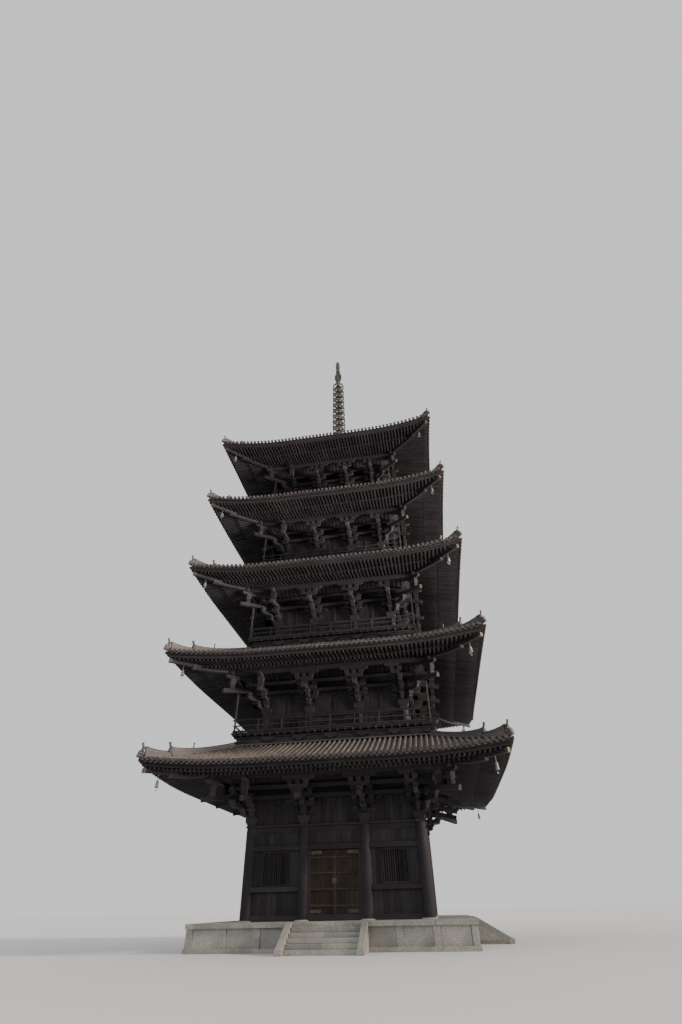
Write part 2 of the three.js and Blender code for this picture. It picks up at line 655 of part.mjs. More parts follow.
// Spire
function addSpire() {
  let z = SPIRE_FOOT_Z;
  const basin = joined([
    block([-BASIN_HALF, -BASIN_HALF, z], [BASIN_HALF, BASIN_HALF, z + BASIN_HEIGHT - 120]),
    block(
      [-BASIN_HALF - 80, -BASIN_HALF - 80, z + BASIN_HEIGHT - 140],
      [BASIN_HALF + 80, BASIN_HALF + 80, z + BASIN_HEIGHT],
    ),
  ]);
  addPiece('spire_dew_basin', basin, bronze);
  z += BASIN_HEIGHT;
  const bowlTop = z + BOWL_HEIGHT;
  const lotusTop = bowlTop + LOTUS_HEIGHT;
  const bowlProfile = [
    [0, z], [620, z], [600, z + 240], [430, z + 480], [200, bowlTop],
    [420, bowlTop + 180], [LOTUS_RADIUS, lotusTop - 40], [LOTUS_RADIUS - 90, lotusTop], [0, lotusTop],
  ];
  addPiece('spire_bowl_and_lotus', lathed(bowlProfile, RING_SIDES), bronze);

  const mastProfile = [[0, lotusTop], [MAST_RADIUS, lotusTop]];
  for (let ring = 0; ring < RING_COUNT; ring += 1) {
    const share = ring / (RING_COUNT - 1);
    const radius = FIRST_RING_RADIUS + share * (LAST_RING_RADIUS - FIRST_RING_RADIUS);
    const middle = FIRST_RING_Z + share * (LAST_RING_Z - FIRST_RING_Z);
    const low = middle - RING_HEIGHT / 2;
    const high = middle + RING_HEIGHT / 2;
    mastProfile.push([MAST_RADIUS, low], [radius, low], [radius, high], [MAST_RADIUS, high]);
  }
  mastProfile.push([MAST_RADIUS, MAST_TOP_Z], [0, MAST_TOP_Z]);
  addPiece('spire_mast_and_rings', lathed(mastProfile, RING_SIDES), bronze);

  const height = FLAME_TOP_Z - MAST_TOP_Z;
  const flame = [
    [-90, MAST_TOP_Z],
    [90, MAST_TOP_Z],
    [FLAME_HALF * 0.9, MAST_TOP_Z + height * 0.12],
    [FLAME_HALF, MAST_TOP_Z + height * 0.4],
    [FLAME_HALF * 0.7, MAST_TOP_Z + height * 0.75],
    [90, FLAME_TOP_Z],
    [-90, FLAME_TOP_Z],
    [-FLAME_HALF * 0.7, MAST_TOP_Z + height * 0.75],
    [-FLAME_HALF, MAST_TOP_Z + height * 0.4],
    [-FLAME_HALF * 0.9, MAST_TOP_Z + height * 0.12],
  ];
  const plate = outwardPlate(flame, FLAME_THICKNESS);
  addPiece('spire_flame', joined([plate, turned(plate, 1)]), bronze);

  const tipHeight = SPIRE_TIP_Z - FLAME_TOP_Z;
  const jewelProfile = [
    [0, 0], [JEWEL_NECK, 0], [JEWEL_NECK, 0.12], [JEWEL_RADIUS, 0.25], [JEWEL_RADIUS, 0.38],
    [JEWEL_NECK, 0.5], [JEWEL_NECK, 0.56], [JEWEL_RADIUS * 0.95, 0.7], [JEWEL_RADIUS * 0.75, 0.84], [0, 1],
  ].map(([radius, share]) => [radius, FLAME_TOP_Z + share * tipHeight]);
  addPiece('spire_jewel', lathed(jewelProfile, 8), bronze);
}

addPodium();
const storeys = EAVE_HEIGHTS.map((_, index) => storeyOf(index));
storeys.forEach((storey, index) => {
  if (index > 0) {
    addBalcony(storey, storeys[index - 1]);
  }
  addWalls(storey);
  addBrackets(storey);
  addEaves(storey);
  addTiles(storey);
});
addDoors(storeys[0]);
addSpire();

pagoda.scale.setScalar(MODEL_SCALE);
pagoda.updateMatrixWorld(true);

export default pagoda;
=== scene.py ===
"""A five-storeyed timber pagoda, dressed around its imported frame.

The model is half the real building's size. Shapes are worked out in real metres, on the front side or
the front right corner, turned about the middle for the other sides, and halved when they become meshes.
"""
import math

import bpy
import numpy as np
from mathutils import Matrix, Vector


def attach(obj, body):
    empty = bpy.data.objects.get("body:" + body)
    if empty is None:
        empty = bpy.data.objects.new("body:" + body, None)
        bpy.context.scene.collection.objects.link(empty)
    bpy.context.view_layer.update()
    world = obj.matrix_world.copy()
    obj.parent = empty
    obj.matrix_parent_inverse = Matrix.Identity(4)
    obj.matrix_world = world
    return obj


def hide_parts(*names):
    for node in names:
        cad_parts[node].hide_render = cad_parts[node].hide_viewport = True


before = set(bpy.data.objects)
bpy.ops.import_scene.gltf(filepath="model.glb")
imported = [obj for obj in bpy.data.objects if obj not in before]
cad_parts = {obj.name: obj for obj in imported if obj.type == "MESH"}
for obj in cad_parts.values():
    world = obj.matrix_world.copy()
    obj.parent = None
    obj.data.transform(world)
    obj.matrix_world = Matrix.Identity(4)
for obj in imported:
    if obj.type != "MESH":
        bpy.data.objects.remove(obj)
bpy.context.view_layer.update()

SCALE = 0.5
ROOT_TWO = math.sqrt(2)
QUARTER = math.pi / 2
SIDE_NAMES = ("front", "right", "back", "left")
rng = np.random.default_rng(41)

# Storeys
EAVE_HEIGHTS = (7.72, 13.80, 20.05, 26.35, 32.69)
FLOOR_HEIGHTS = (1.10, 10.05, 16.25, 22.50, 28.80)
SEAT_HEIGHTS = (9.31, 15.50, 21.75, 28.05, 39.90)
FIRST_EAVE_HALF = 9.76
EAVE_INSET = 0.30
FIRST_BODY_HALF = 4.74
BODY_INSET = 0.32
WALL_TOP_BELOW_EAVE = 2.40
BAY_LINE = 0.36
FIRST_COLUMN_RADIUS, COLUMN_RADIUS = 0.29, 0.22
FIRST_WALL_FACE, WALL_FACE = 0.05, 0.09

# Podium and its flights of steps
PODIUM_HEIGHT = 1.10
PODIUM_HALF = 7.00
STEP_COUNT = 6
STEP_TREAD = 0.32
STEPS_WIDTH = 3.30
CHEEK_WIDTH = 0.32

# Openings, their heights as shares of the wall's, on the first storey and on the low walls above it
UPPER_COLUMN_CLEAR = 0.20
DOOR_CLEAR = 0.13
WINDOW_CLEAR = 0.12
WINDOW_HALF = 0.75
DOOR_SILL = 0.06
OPENING_TOP, UPPER_OPENING_TOP = 0.71, 0.80
WINDOW_SILL, UPPER_WINDOW_SILL = 0.34, 0.24

# Roofs
CORNER_RISES = (0.40, 0.43, 0.51, 0.55, 0.55)
CORNER_FLARES = (0.03, 0.18, 0.16, 0.20, 0.26)
RISE_START = 0.35
RISE_POWER = 2.2
RISE_FADE = 1.5
ROOF_SLOPE = 0.36
TOP_ROOF_SLOPE = 0.50
TOP_ROOF_RISE_RUN = 3.60
SEAT_OUT = 1.50
SPIRE_FOOT = SEAT_HEIGHTS[-1]
SPIRE_HOLE_HALF = 0.60
TILE_PITCH = 0.295
TILE_LENGTH = 0.36
ROW_HALF = 0.068
ROW_HEIGHT = 0.125
DISC_RADIUS = 0.098
PAN_DEPTH = 0.075
PAN_REACH = 0.26
COURSE_TILE = 0.42
BED_STATIONS = 23
RIDGE_BREAK = 1.17
RIDGE_TIP = 0.12
RIDGE_WIDTH = 0.27
RIDGE_PIN = 2.10

# Eaves
FLYING_TIP = 0.30
FLYING_TIP_DROP = 0.45
FLYING_SLOPE = 0.16
FLYING_INNER = 1.75
FLYING_SIZE = (0.105, 0.13)
BASE_TIP = 1.55
BASE_TIP_DROP = 0.42
BASE_SLOPE = 0.28
BASE_SIZE = (0.12, 0.155)
RAFTER_PITCH = 0.25
HIP_DEPTH = 0.34
BELL_INSET = 0.90
BELL_SIZE = 0.86

# Brackets
PURLIN_OUT = 1.90
PURLIN_HALF = 0.11
PURLIN_HEIGHT = 0.28
STEP_OUT = (0.46, 1.00)
TIER = 0.42
BLOCK_TOP = 0.40
TAIL_OUT = 2.30
TAIL_UNDERSIDE = 0.96
TAIL_SLOPE = 0.215
ARM_WIDTH = 0.20
ARM_HEIGHT = 0.24
RIB_PITCH = 0.30
RIB_SIZE = (0.045, 0.05)
BRACKET_BOARD = 0.30
CROSSING_DROP = 0.006

# Balconies
BALCONY_OUT = 1.70
BALCONY_THICKNESS = 0.20
WAIST_OUT = 1.43
RAIL_OUT = 1.545
RAIL_HEIGHT = 0.82
RAIL_OVERRUN = 0.14

# Spire
BASIN_HALF = 0.75
BASIN_HEIGHT = 0.80
BOWL_HEIGHT = 0.60
LOTUS_HEIGHT = 0.40
LOTUS_RADIUS = 0.62
RING_COUNT = 9
FIRST_RING = (42.18, 0.705)
LAST_RING = (49.83, 0.625)
RING_HEIGHT = 0.30
SPOKE_COUNT = 8
SPOKE_HALF_WIDTH = 0.035
SPOKE_HALF_HEIGHT = 0.09
INNER_HOOP = 0.52
INNER_HOOP_THICKNESS = 0.05
HUB = [(0.13, -0.20), (0.165, -0.16), (0.165, 0.10), (0.135, 0.14), (0.12, 0.20)]
RING_BELL = [(0.050, -0.20), (0.038, -0.12), (0.030, -0.06), (0.010, -0.045)]
MAST_RADIUS = 0.10
MAST_TOP = 50.60
FLAME_TOP = 52.70
FLAME_HALF = 0.40
SPIRE_TIP = 54.80
JEWEL_RADIUS = 0.25
JEWEL_NECK = 0.225


class Storey:
    """The sizes of one storey, from the same rules as its solids."""

    def __init__(self, index):
        self.number = index + 1
        self.is_first = index == 0
        self.is_top = index == len(EAVE_HEIGHTS) - 1
        self.eave_z = EAVE_HEIGHTS[index]
        self.eave_half = FIRST_EAVE_HALF - EAVE_INSET * index
        self.body_half = FIRST_BODY_HALF - BODY_INSET * index
        self.floor_z = FLOOR_HEIGHTS[index]
        self.corner_rise = CORNER_RISES[index]
        self.corner_flare = CORNER_FLARES[index]
        self.wall_top = self.eave_z - WALL_TOP_BELOW_EAVE
        self.bay = self.body_half * BAY_LINE
        self.seat_half = SPIRE_HOLE_HALF if self.is_top else self.body_half - BODY_INSET + SEAT_OUT
        self.seat_z = SEAT_HEIGHTS[index]
        self.run = self.eave_half - self.seat_half
        self.slope = TOP_ROOF_SLOPE if self.is_top else ROOF_SLOPE
        self.curve = (self.seat_z - self.eave_z - self.slope * self.run) / self.run ** 2
        self.rise_run = TOP_ROOF_RISE_RUN if self.is_top else self.run
        self.column_radius = FIRST_COLUMN_RADIUS if self.is_first else COLUMN_RADIUS
        self.wall_face = FIRST_WALL_FACE if self.is_first else WALL_FACE
        self.wall_line = self.eave_half - self.body_half
        self.purlin_line = self.wall_line - PURLIN_OUT

    def share(self, inward):
        """How much of the corner's rise is left at a distance inward from the eave."""
        return np.maximum(0, 1 - np.asarray(inward, float) / self.rise_run) ** RISE_FADE

    def lift(self, along, inward):
        """How far the eaves' curve lifts a point at a distance along the side and inward from the eave."""
        station = np.clip(np.abs(along) / np.maximum(self.eave_half - inward, 0.01), 0, 1)
        past = np.maximum(0, (station - RISE_START) / (1 - RISE_START))
        return self.corner_rise * past ** RISE_POWER * self.share(inward)

    def flared(self, points):
        """Points of the roof, drawn outward towards its corners."""
        flat = np.abs(points[:, :2])
        half = np.maximum(flat.max(1), 0.01)
        past = np.maximum(0, (flat.min(1) / half - RISE_START) / (1 - RISE_START))
        out = self.corner_flare * past ** RISE_POWER * self.share(np.maximum(self.eave_half - half, 0))
        drawn = points.copy()
        drawn[:, :2] *= (1 + out / half)[:, None]
        return drawn

    def tile_top(self, inward):
        return self.eave_z + self.slope * inward + self.curve * inward ** 2

    def tile_slope(self, inward):
        return self.slope + 2 * self.curve * inward

    def flying_under(self, inward):
        return self.eave_z - FLYING_TIP_DROP + FLYING_SLOPE * (inward - FLYING_TIP)

    def base_under(self, inward):
        return self.eave_z - BASE_TIP_DROP + BASE_SLOPE * (inward - BASE_TIP)

    def base_lift(self, along, inward):
        """The lift of the lower rafters, which run straight from their tips to the purlin."""
        fade = np.clip((self.purlin_line - inward) / (self.purlin_line - BASE_TIP), 0, 1)
        return self.lift(along, BASE_TIP) * fade

    def purlin_foot(self):
        return self.base_under(self.purlin_line - PURLIN_HALF) - PURLIN_HEIGHT


GRAIN_SPREAD = 40
END_LIMIT = 0.35
UPRIGHT_LIMIT = 0.2
TINY = 1e-9

# How many groups of faces a block or merged shape has, a lofted member's two ends, the whole member, and
# a section carried round the square
ONE_GROUP, BOTH_ENDS, WHOLE_LOFT, SQUARE_SIDES = 1, 2, 3, 4


class Shape:
    """Faces gathered in real metres, with the grain's direction at each corner and one tint a member."""

    def __init__(self):
        self.points = []
        self.corners = []
        self.sizes = []
        self.grain = []
        self.tint = []
        self.slots = []
        self.count = 0

    def add(self, points, faces, along=(1.0, 0.0, 0.0)):
        """faces holds arrays of point numbers, each array with one number of corners a face."""
        points = np.asarray(points, float)
        along = np.asarray(along, float)
        along = along / np.linalg.norm(along)
        side = np.cross(along, (0.0, 0.0, 1.0))
        if np.linalg.norm(side) < UPRIGHT_LIMIT:
            side = np.cross(along, (0.0, 1.0, 0.0))
        side = side / np.linalg.norm(side)
        other = np.cross(along, side)
        shift = rng.random(2) * GRAIN_SPREAD
        tint = rng.random()
        for face in faces:
            face = np.asarray(face)
            if face.ndim == 1:
                face = face[None]
            at = points[face]
            normal = np.cross(at[:, 1] - at[:, 0], at[:, 2] - at[:, 0])
            normal = normal / np.maximum(np.linalg.norm(normal, axis=1, keepdims=True), 1e-12)
            across = np.cross(normal, along)
            length = np.linalg.norm(across, axis=1, keepdims=True)
            is_end = length[:, 0] < END_LIMIT
            across = across / np.maximum(length, TINY)
            across[is_end] = other
            first = np.repeat(along[None], len(face), 0)
            first[is_end] = side
            u = np.einsum("mkc,mc->mk", at, first)
            v = np.einsum("mkc,mc->mk", at, across)
            self.grain.append(np.stack([u, v], -1).reshape(-1, 2) + shift)
            self.corners.append(face.reshape(-1) + self.count)
            self.sizes.append(np.full(len(face), face.shape[1]))
            self.tint.append(np.full(len(face), tint))
            self.slots.append(np.zeros(len(face), int))
        self.points.append(points)
        self.count += len(points)

    def merge(self, other, matrix=None):
        """Adds a copy of another shape, moved by a 4 by 4 matrix, with other tints."""
        points = np.concatenate(other.points)
        if matrix is not None:
            matrix = np.asarray(matrix, float)
            points = points @ matrix[:3, :3].T + matrix[:3, 3]
        self.corners.append(np.concatenate(other.corners) + self.count)
        self.sizes.append(np.concatenate(other.sizes))
        self.grain.append(np.concatenate(other.grain) + rng.random(2) * GRAIN_SPREAD)
        self.tint.append((np.concatenate(other.tint) + rng.random()) % 1)
        self.slots.append(np.concatenate(other.slots))
        self.points.append(points)
        self.count += len(points)

    def flare(self, storey):
        """Draws a roof's four corners outward in plan."""
        self.points = [storey.flared(points) for points in self.points]

    def use_slot(self, slot, groups):
        """Gives the last groups of faces another of the piece's materials."""
        for faces in self.slots[-groups:]:
            faces[:] = slot

    def mark_start(self, slot):
        """Gives the first end of the last lofted member another of the piece's materials."""
        self.slots[-BOTH_ENDS][:] = slot

    def piece(self, name, materials, nodes, slot, sharp=35):
        """Makes the mesh object, which stands for the nodes named."""
        mesh = bpy.data.meshes.new(name)
        points = (np.concatenate(self.points) * SCALE).astype(np.float32)
        corners = np.concatenate(self.corners).astype(np.int32)
        sizes = np.concatenate(self.sizes).astype(np.int32)
        starts = np.concatenate([[0], np.cumsum(sizes)[:-1]]).astype(np.int32)
        mesh.vertices.add(len(points))
        mesh.vertices.foreach_set("co", points.ravel())
        mesh.loops.add(len(corners))
        mesh.loops.foreach_set("vertex_index", corners)
        mesh.polygons.add(len(sizes))
        mesh.polygons.foreach_set("loop_start", starts)
        mesh.polygons.foreach_set("material_index", np.concatenate(self.slots).astype(np.int32))
        mesh.update(calc_edges=True)
        grain = mesh.uv_layers.new(name="grain")
        grain.uv.foreach_set("vector", np.concatenate(self.grain).astype(np.float32).ravel())
        tint = mesh.attributes.new(name="tint", type="FLOAT", domain="FACE")
        tint.data.foreach_set("value", np.concatenate(self.tint).astype(np.float32))
        mesh.polygons.foreach_set("use_smooth", np.ones(len(sizes), bool))
        mesh.set_sharp_from_angle(angle=math.radians(sharp))
        for material in materials:
            mesh.materials.append(material)
        piece = bpy.data.objects.new(name, mesh)
        bpy.context.scene.collection.objects.link(piece)
        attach(piece, "root")
        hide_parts(*nodes)


# Moves and turns
def turn(quarters):
    return np.array(Matrix.Rotation(quarters * QUARTER, 4, "Z"))


def moved(x, y, z):
    return np.array(Matrix.Translation((x, y, z)))


def facing_front(x, y, z):
    """Turns a lathed shape's axis to point out of the front."""
    return np.array(Matrix.Translation((x, y, z)) @ Matrix.Rotation(QUARTER, 4, "X"))


# Takes a member made along the front's middle line to the front right corner's diagonal
TO_CORNER = turn(0.5)
ACROSS, OUTWARD, INWARD, UPRIGHT = (1, 0, 0), (0, -1, 0), (0, 1, 0), (0, 0, 1)


def four_sides(shape, drop=0.0):
    """The front's shape on all four sides. Members that cross at the corners drop a little on two of them."""
    whole = Shape()
    for quarters in range(4):
        whole.merge(shape, turn(quarters) @ moved(0, 0, -drop * (quarters % 2)))
    return whole


def side_pieces(shape, kind, node, materials, slot):
    """Makes the front's shape a piece on each side, which stands for that side's node."""
    for quarters, name in enumerate(SIDE_NAMES):
        side = Shape()
        side.merge(shape, turn(quarters))
        side.piece(f"{name}_{kind}", materials, [f"{name}_{node}"], slot)


# Closed solids
def ring_faces(here, ahead):
    """Faces with four corners between rings of point numbers and the rings ahead of them."""
    return np.stack([here, np.roll(here, -1, 1), np.roll(ahead, -1, 1), ahead], -1).reshape(-1, 4)


def loft(shape, rings, along=ACROSS):
    """Joins rings of points, which run anticlockwise seen from the last ring's side, and caps both ends."""
    rings = np.asarray(rings, float)
    ring_count, size = rings.shape[:2]
    numbers = np.arange(ring_count * size).reshape(ring_count, size)
    sides = ring_faces(numbers[:-1], numbers[1:])
    shape.add(rings.reshape(-1, 3), [sides, numbers[0][::-1], numbers[-1]], along)


def rectangle(width, height):
    w, h = width / 2, height / 2
    return np.array([(-w, -h), (w, -h), (w, h), (-w, h)])


def chamfered(width, height, cut=0.015):
    w, h = width / 2, height / 2
    return np.array([(-w + cut, -h), (w - cut, -h), (w, -h + cut), (w, h - cut),
                     (w - cut, h), (-w + cut, h), (-w, h - cut), (-w, -h + cut)])


def circle(radius, sides):
    angles = (np.arange(sides) + 0.5) * 2 * math.pi / sides
    return np.stack([np.cos(angles), np.sin(angles)], 1) * radius


def carried(path, outline, sizes, side, ups):
    """Rings of an outline of (side, up) points at each point of a path."""
    sideways = outline[None, :, :1] * sizes[:, None, None] * side
    upward = outline[None, :, 1:] * sizes[:, None, None] * ups[:, None, :]
    return path[:, None, :] + sideways + upward


def sweep(shape, path, outline, sizes=None, up=UPRIGHT, is_plumb=False):
    """Carries an outline of (side, up) points along a path that keeps to one plane with up.

    A plumb sweep keeps the outline's up axis vertical, so that its ends stay upright.
    """
    path = np.asarray(path, float)
    outline = np.asarray(outline, float)
    direction = path[-1] - path[0]
    side = np.cross(up, direction)
    side = side / np.linalg.norm(side)
    tangents = np.gradient(path, axis=0)
    tangents = tangents / np.linalg.norm(tangents, axis=1, keepdims=True)
    ups = np.tile((0, 0, 1.0), (len(path), 1)) if is_plumb else np.cross(tangents, side)
    sizes = np.ones(len(path)) if sizes is None else np.asarray(sizes, float)
    loft(shape, carried(path, outline, sizes, side, ups), direction)


def rod(shape, start, end, radius, sides=8):
    start = np.asarray(start, float)
    end = np.asarray(end, float)
    is_upright = abs((end - start)[2]) > 0.9 * np.linalg.norm(end - start)
    sweep(shape, [start, end], circle(radius, sides), up=INWARD if is_upright else UPRIGHT)


BOX_FACES = np.array([(0, 3, 2, 1), (4, 5, 6, 7), (0, 1, 5, 4), (1, 2, 6, 5), (2, 3, 7, 6), (3, 0, 4, 7)])


def box(shape, low, high, along=None):
    """A plain block. Its grain runs the longest way unless told."""
    low, high = np.asarray(low, float), np.asarray(high, float)
    if along is None:
        along = np.eye(3)[int(np.argmax(high - low))]
    (x0, y0, z0), (x1, y1, z1) = low, high
    flat = [(x0, y0), (x1, y0), (x1, y1), (x0, y1)]
    shape.add([(x, y, z) for z in (z0, z1) for x, y in flat], [BOX_FACES], along)


def beam(shape, low, high, cut=0.015):
    """A squared timber or stone with its long edges taken off, along X, Y or Z."""
    low, high = np.asarray(low, float), np.asarray(high, float)
    size = high - low
    axis = int(np.argmax(size))
    start = (low + high) / 2
    end = start.copy()
    start[axis], end[axis] = low[axis], high[axis]
    if axis == 2:
        sweep(shape, [start, end], chamfered(size[0], size[1], cut), up=INWARD)
    else:
        sweep(shape, [start, end], chamfered(size[1 - axis], size[2], cut))


def around(middle, half):
    return middle - half, middle + half


def front_beam(shape, ends, line, depths, levels, cut=0.015):
    """A member of the front between two ends along X. Its depths are out of and behind its line."""
    left, right = sorted(ends)
    (out, back), (low, high) = depths, levels
    beam(shape, (left, -line - out, low), (right, -line + back, high), cut)


def plate(shape, outline, thickness, origin, across=ACROSS):
    """A flat upright plate along across, cut to an anticlockwise outline."""
    across = np.asarray(across, float)
    up = np.array((0, 0, 1.0))
    normal = np.cross(across, up)
    flat = np.asarray(outline, float)
    middle = np.asarray(origin, float) + flat[:, :1] * across + flat[:, 1:] * up
    loft(shape, [middle - normal * thickness / 2, middle + normal * thickness / 2], across)


def turned_points(profile, sides, centre):
    ring = circle(1, sides)
    return np.array([np.column_stack([ring * radius, np.full(sides, z)]) + centre for radius, z in profile])


def lathe(shape, profile, sides, centre=(0, 0, 0)):
    """Turns a profile of (radius, height) points, from foot to top, about an upright axis."""
    loft(shape, turned_points(profile, sides, centre), UPRIGHT)


def turned_ring(shape, profile, sides, centre=(0, 0, 0)):
    """Turns a closed anticlockwise profile of (radius, height) points, clear of the axis, into a ring."""
    numbers = np.arange(len(profile) * sides).reshape(len(profile), sides)
    points = turned_points(profile, sides, centre).reshape(-1, 3)
    shape.add(points, [ring_faces(numbers, np.roll(numbers, -1, 0))], UPRIGHT)


def eased_stations(count):
    """Stations from one corner to the other, closer together near the corners."""
    angle = np.linspace(-QUARTER, QUARTER, count)
    return 0.5 * np.sin(angle) + 0.5 * np.linspace(-1, 1, count)


def square_sweep(shape, storey, section, stations):
    """Carries a closed section of (inward, height, is lifted) points round the square.

    The section runs anticlockwise where inward is to the right.
    """
    inward, height, is_lifted = np.array(section, float).T
    half = storey.eave_half - inward
    size = len(section)
    per_side = len(stations) - 1
    side_rings = []
    for station in stations[:-1]:
        lift = storey.lift(station * half, inward) * is_lifted
        side_rings.append(np.stack([station * half, -half, height + lift], 1))
    side_rings = np.array(side_rings)
    rings = np.concatenate([side_rings @ turn(quarters)[:3, :3].T for quarters in range(4)])
    numbers = np.arange(len(rings) * size).reshape(len(rings), size)
    ahead = np.roll(numbers, -1, 0)
    first = shape.count
    for quarters in range(4):
        stretch = slice(quarters * per_side, (quarters + 1) * per_side)
        faces = ring_faces(numbers[stretch], ahead[stretch])
        before = shape.count
        shape.add(rings.reshape(-1, 3), [faces], turn(quarters)[:3, 0])
        if quarters:
            shape.points.pop()
            shape.corners[-1] += first - before
            shape.count = before


# Materials
def new_material(name):
    material = bpy.data.materials.new(name)
    material.use_nodes = True
    tree = material.node_tree
    tree.nodes.clear()
    output = tree.nodes.new("ShaderNodeOutputMaterial")
    shader = tree.nodes.new("ShaderNodeBsdfPrincipled")
    tree.links.new(shader.outputs["BSDF"], output.inputs["Surface"])
    return material, tree, shader


def node(tree, kind, inputs=None, **settings):
    made = tree.nodes.new(kind)
    for key, value in settings.items():
        setattr(made, key, value)
    for key, value in (inputs or {}).items():
        if isinstance(value, bpy.types.NodeSocket):
            tree.links.new(value, made.inputs[key])
        else:
            made.inputs[key].default_value = value
    return made


def ramp(tree, factor, stops):
    made = tree.nodes.new("ShaderNodeValToRGB")
    tree.links.new(factor, made.inputs["Fac"])
    elements = made.color_ramp.elements
    while len(elements) < len(stops):
        elements.new(0.5)
    for element, (position, colour) in zip(elements, stops):
        element.position = position
        element.color = (*colour, 1) if isinstance(colour, tuple) else (colour, colour, colour, 1)
    return made.outputs["Color"]


def mix(tree, factor, first, second, blend="MIX"):
    """Mixes two colours, each a socket or three numbers. The node takes them at 6 and 7 and gives out 2."""
    inputs = {0: factor, 6: first, 7: second}
    for key in (6, 7):
        if isinstance(inputs[key], tuple):
            inputs[key] = (*inputs[key], 1)
    return node(tree, "ShaderNodeMix", inputs, data_type="RGBA", blend_type=blend).outputs[2]


def noise(tree, vector, scale, detail=4.0, roughness=0.55):
    made = node(tree, "ShaderNodeTexNoise",
                {"Vector": vector, "Scale": scale, "Detail": detail, "Roughness": roughness})
    return made.outputs["Fac"]


def add_bump(tree, shader, height, strength, distance):
    made = node(tree, "ShaderNodeBump", {"Strength": strength, "Distance": distance, "Height": height})
    tree.links.new(made.outputs["Normal"], shader.inputs["Normal"])


def place_and_tint(tree):
    place = node(tree, "ShaderNodeTexCoord").outputs["Object"]
    return place, node(tree, "ShaderNodeAttribute", attribute_name="tint").outputs["Fac"]


def grain_map(tree, stretch):
    """A member's own coordinates in real metres, length first, stretched to draw out the grain."""
    uv = node(tree, "ShaderNodeUVMap", uv_map="grain")
    made = node(tree, "ShaderNodeMapping", {"Vector": uv.outputs["UV"], "Scale": (*stretch, 1)})
    return made.outputs["Vector"]


def timber_material(name, dark, light, silver, silver_share):
    """Old timber: long grain lines, a tint for each member, and silvery weathering in patches."""
    material, tree, shader = new_material(name)
    place, tint = place_and_tint(tree)
    fibres = noise(tree, grain_map(tree, (1.2, 26.0)), 3.0, 5.0)
    broad = noise(tree, grain_map(tree, (0.35, 3.0)), 2.2, 3.0)
    weather = noise(tree, place, 1.1, 4.0, 0.6)
    base = ramp(tree, fibres, [(0.30, dark), (0.72, light)])
    varied = mix(tree, 0.45, base, ramp(tree, broad, [(0.3, dark), (0.75, light)]))
    member = ramp(tree, tint, [(0.0, (0.68, 0.66, 0.66)), (1.0, (1.30, 1.26, 1.20))])
    tinted = mix(tree, 1.0, varied, member, "MULTIPLY")
    colour = mix(tree, ramp(tree, weather, [(0.5, 0.0), (0.78, silver_share)]), tinted, silver)
    tree.links.new(colour, shader.inputs["Base Color"])
    tree.links.new(ramp(tree, fibres, [(0.2, 0.9), (0.8, 0.66)]), shader.inputs["Roughness"])
    add_bump(tree, shader, fibres, 0.35, 0.006)
    shader.inputs["Specular IOR Level"].default_value = 0.2
    return material


def tile_material(name, deep, middle, pale):
    """Smoked clay tiles: each its own grey, with a faint sheen and dark weather streaks."""
    material, tree, shader = new_material(name)
    place, tint = place_and_tint(tree)
    mottled = noise(tree, place, 7.0, 5.0, 0.6)
    streaks = noise(tree, place, 0.9, 3.0, 0.55)
    each = ramp(tree, tint, [(0.0, deep), (0.45, middle), (1.0, pale)])
    worn = mix(tree, 0.5, each, ramp(tree, mottled, [(0.32, deep), (0.7, pale)]))
    stained = mix(tree, ramp(tree, streaks, [(0.42, 0.0), (0.7, 0.55)]), worn, deep)
    tree.links.new(stained, shader.inputs["Base Color"])
    tree.links.new(ramp(tree, mottled, [(0.3, 0.48), (0.75, 0.72)]), shader.inputs["Roughness"])
    add_bump(tree, shader, mottled, 0.25, 0.004)
    return material


def stone_material():
    """Dressed granite: salt and pepper grains over slow stains, with a tint for each stone."""
    material, tree, shader = new_material("dressed_granite")
    place, tint = place_and_tint(tree)
    speckle = noise(tree, place, 95.0, 2.0, 0.7)
    stains = noise(tree, place, 1.6, 5.0, 0.62)
    each = ramp(tree, tint, [(0, (0.78, 0.78, 0.78)), (1, (1.12, 1.1, 1.06))])
    tinted = mix(tree, 1.0, ramp(tree, speckle, GRANITE), each, "MULTIPLY")
    stained = mix(tree, ramp(tree, stains, [(0.42, 0.0), (0.75, 0.6)]), tinted, STONE_STAIN)
    tree.links.new(stained, shader.inputs["Base Color"])
    shader.inputs["Roughness"].default_value = 0.86
    add_bump(tree, shader, speckle, 0.3, 0.003)
    return material


def metal_material(name, stops, metallic, patch_scale):
    """Old metal in patches, from bare and dark to crusted and dull."""
    material, tree, shader = new_material(name)
    place = node(tree, "ShaderNodeTexCoord").outputs["Object"]
    patches = noise(tree, place, patch_scale, 6.0, 0.6)
    pits = noise(tree, place, 32.0, 3.0, 0.6)
    tree.links.new(ramp(tree, patches, stops), shader.inputs["Base Color"])
    shader.inputs["Metallic"].default_value = metallic
    tree.links.new(ramp(tree, patches, [(0.3, 0.42), (0.75, 0.72)]), shader.inputs["Roughness"])
    add_bump(tree, shader, pits, 0.3, 0.003)
    return material


# Metals as stops along their patches, and the granite as stops along its grains
PATINA = [(0.3, (0.050, 0.043, 0.036)), (0.52, (0.085, 0.078, 0.066)), (0.75, (0.150, 0.155, 0.132))]
BELL_PATINA = [(0.3, (0.09, 0.10, 0.09)), (0.52, (0.17, 0.195, 0.17)), (0.75, (0.26, 0.30, 0.26))]
DARK_IRON = [(0.3, (0.030, 0.026, 0.020)), (0.7, (0.105, 0.090, 0.062))]
GRANITE = [(0.36, (0.13, 0.125, 0.115)), (0.52, (0.31, 0.30, 0.27)), (0.68, (0.47, 0.455, 0.42))]
STONE_STAIN = (0.10, 0.095, 0.078)

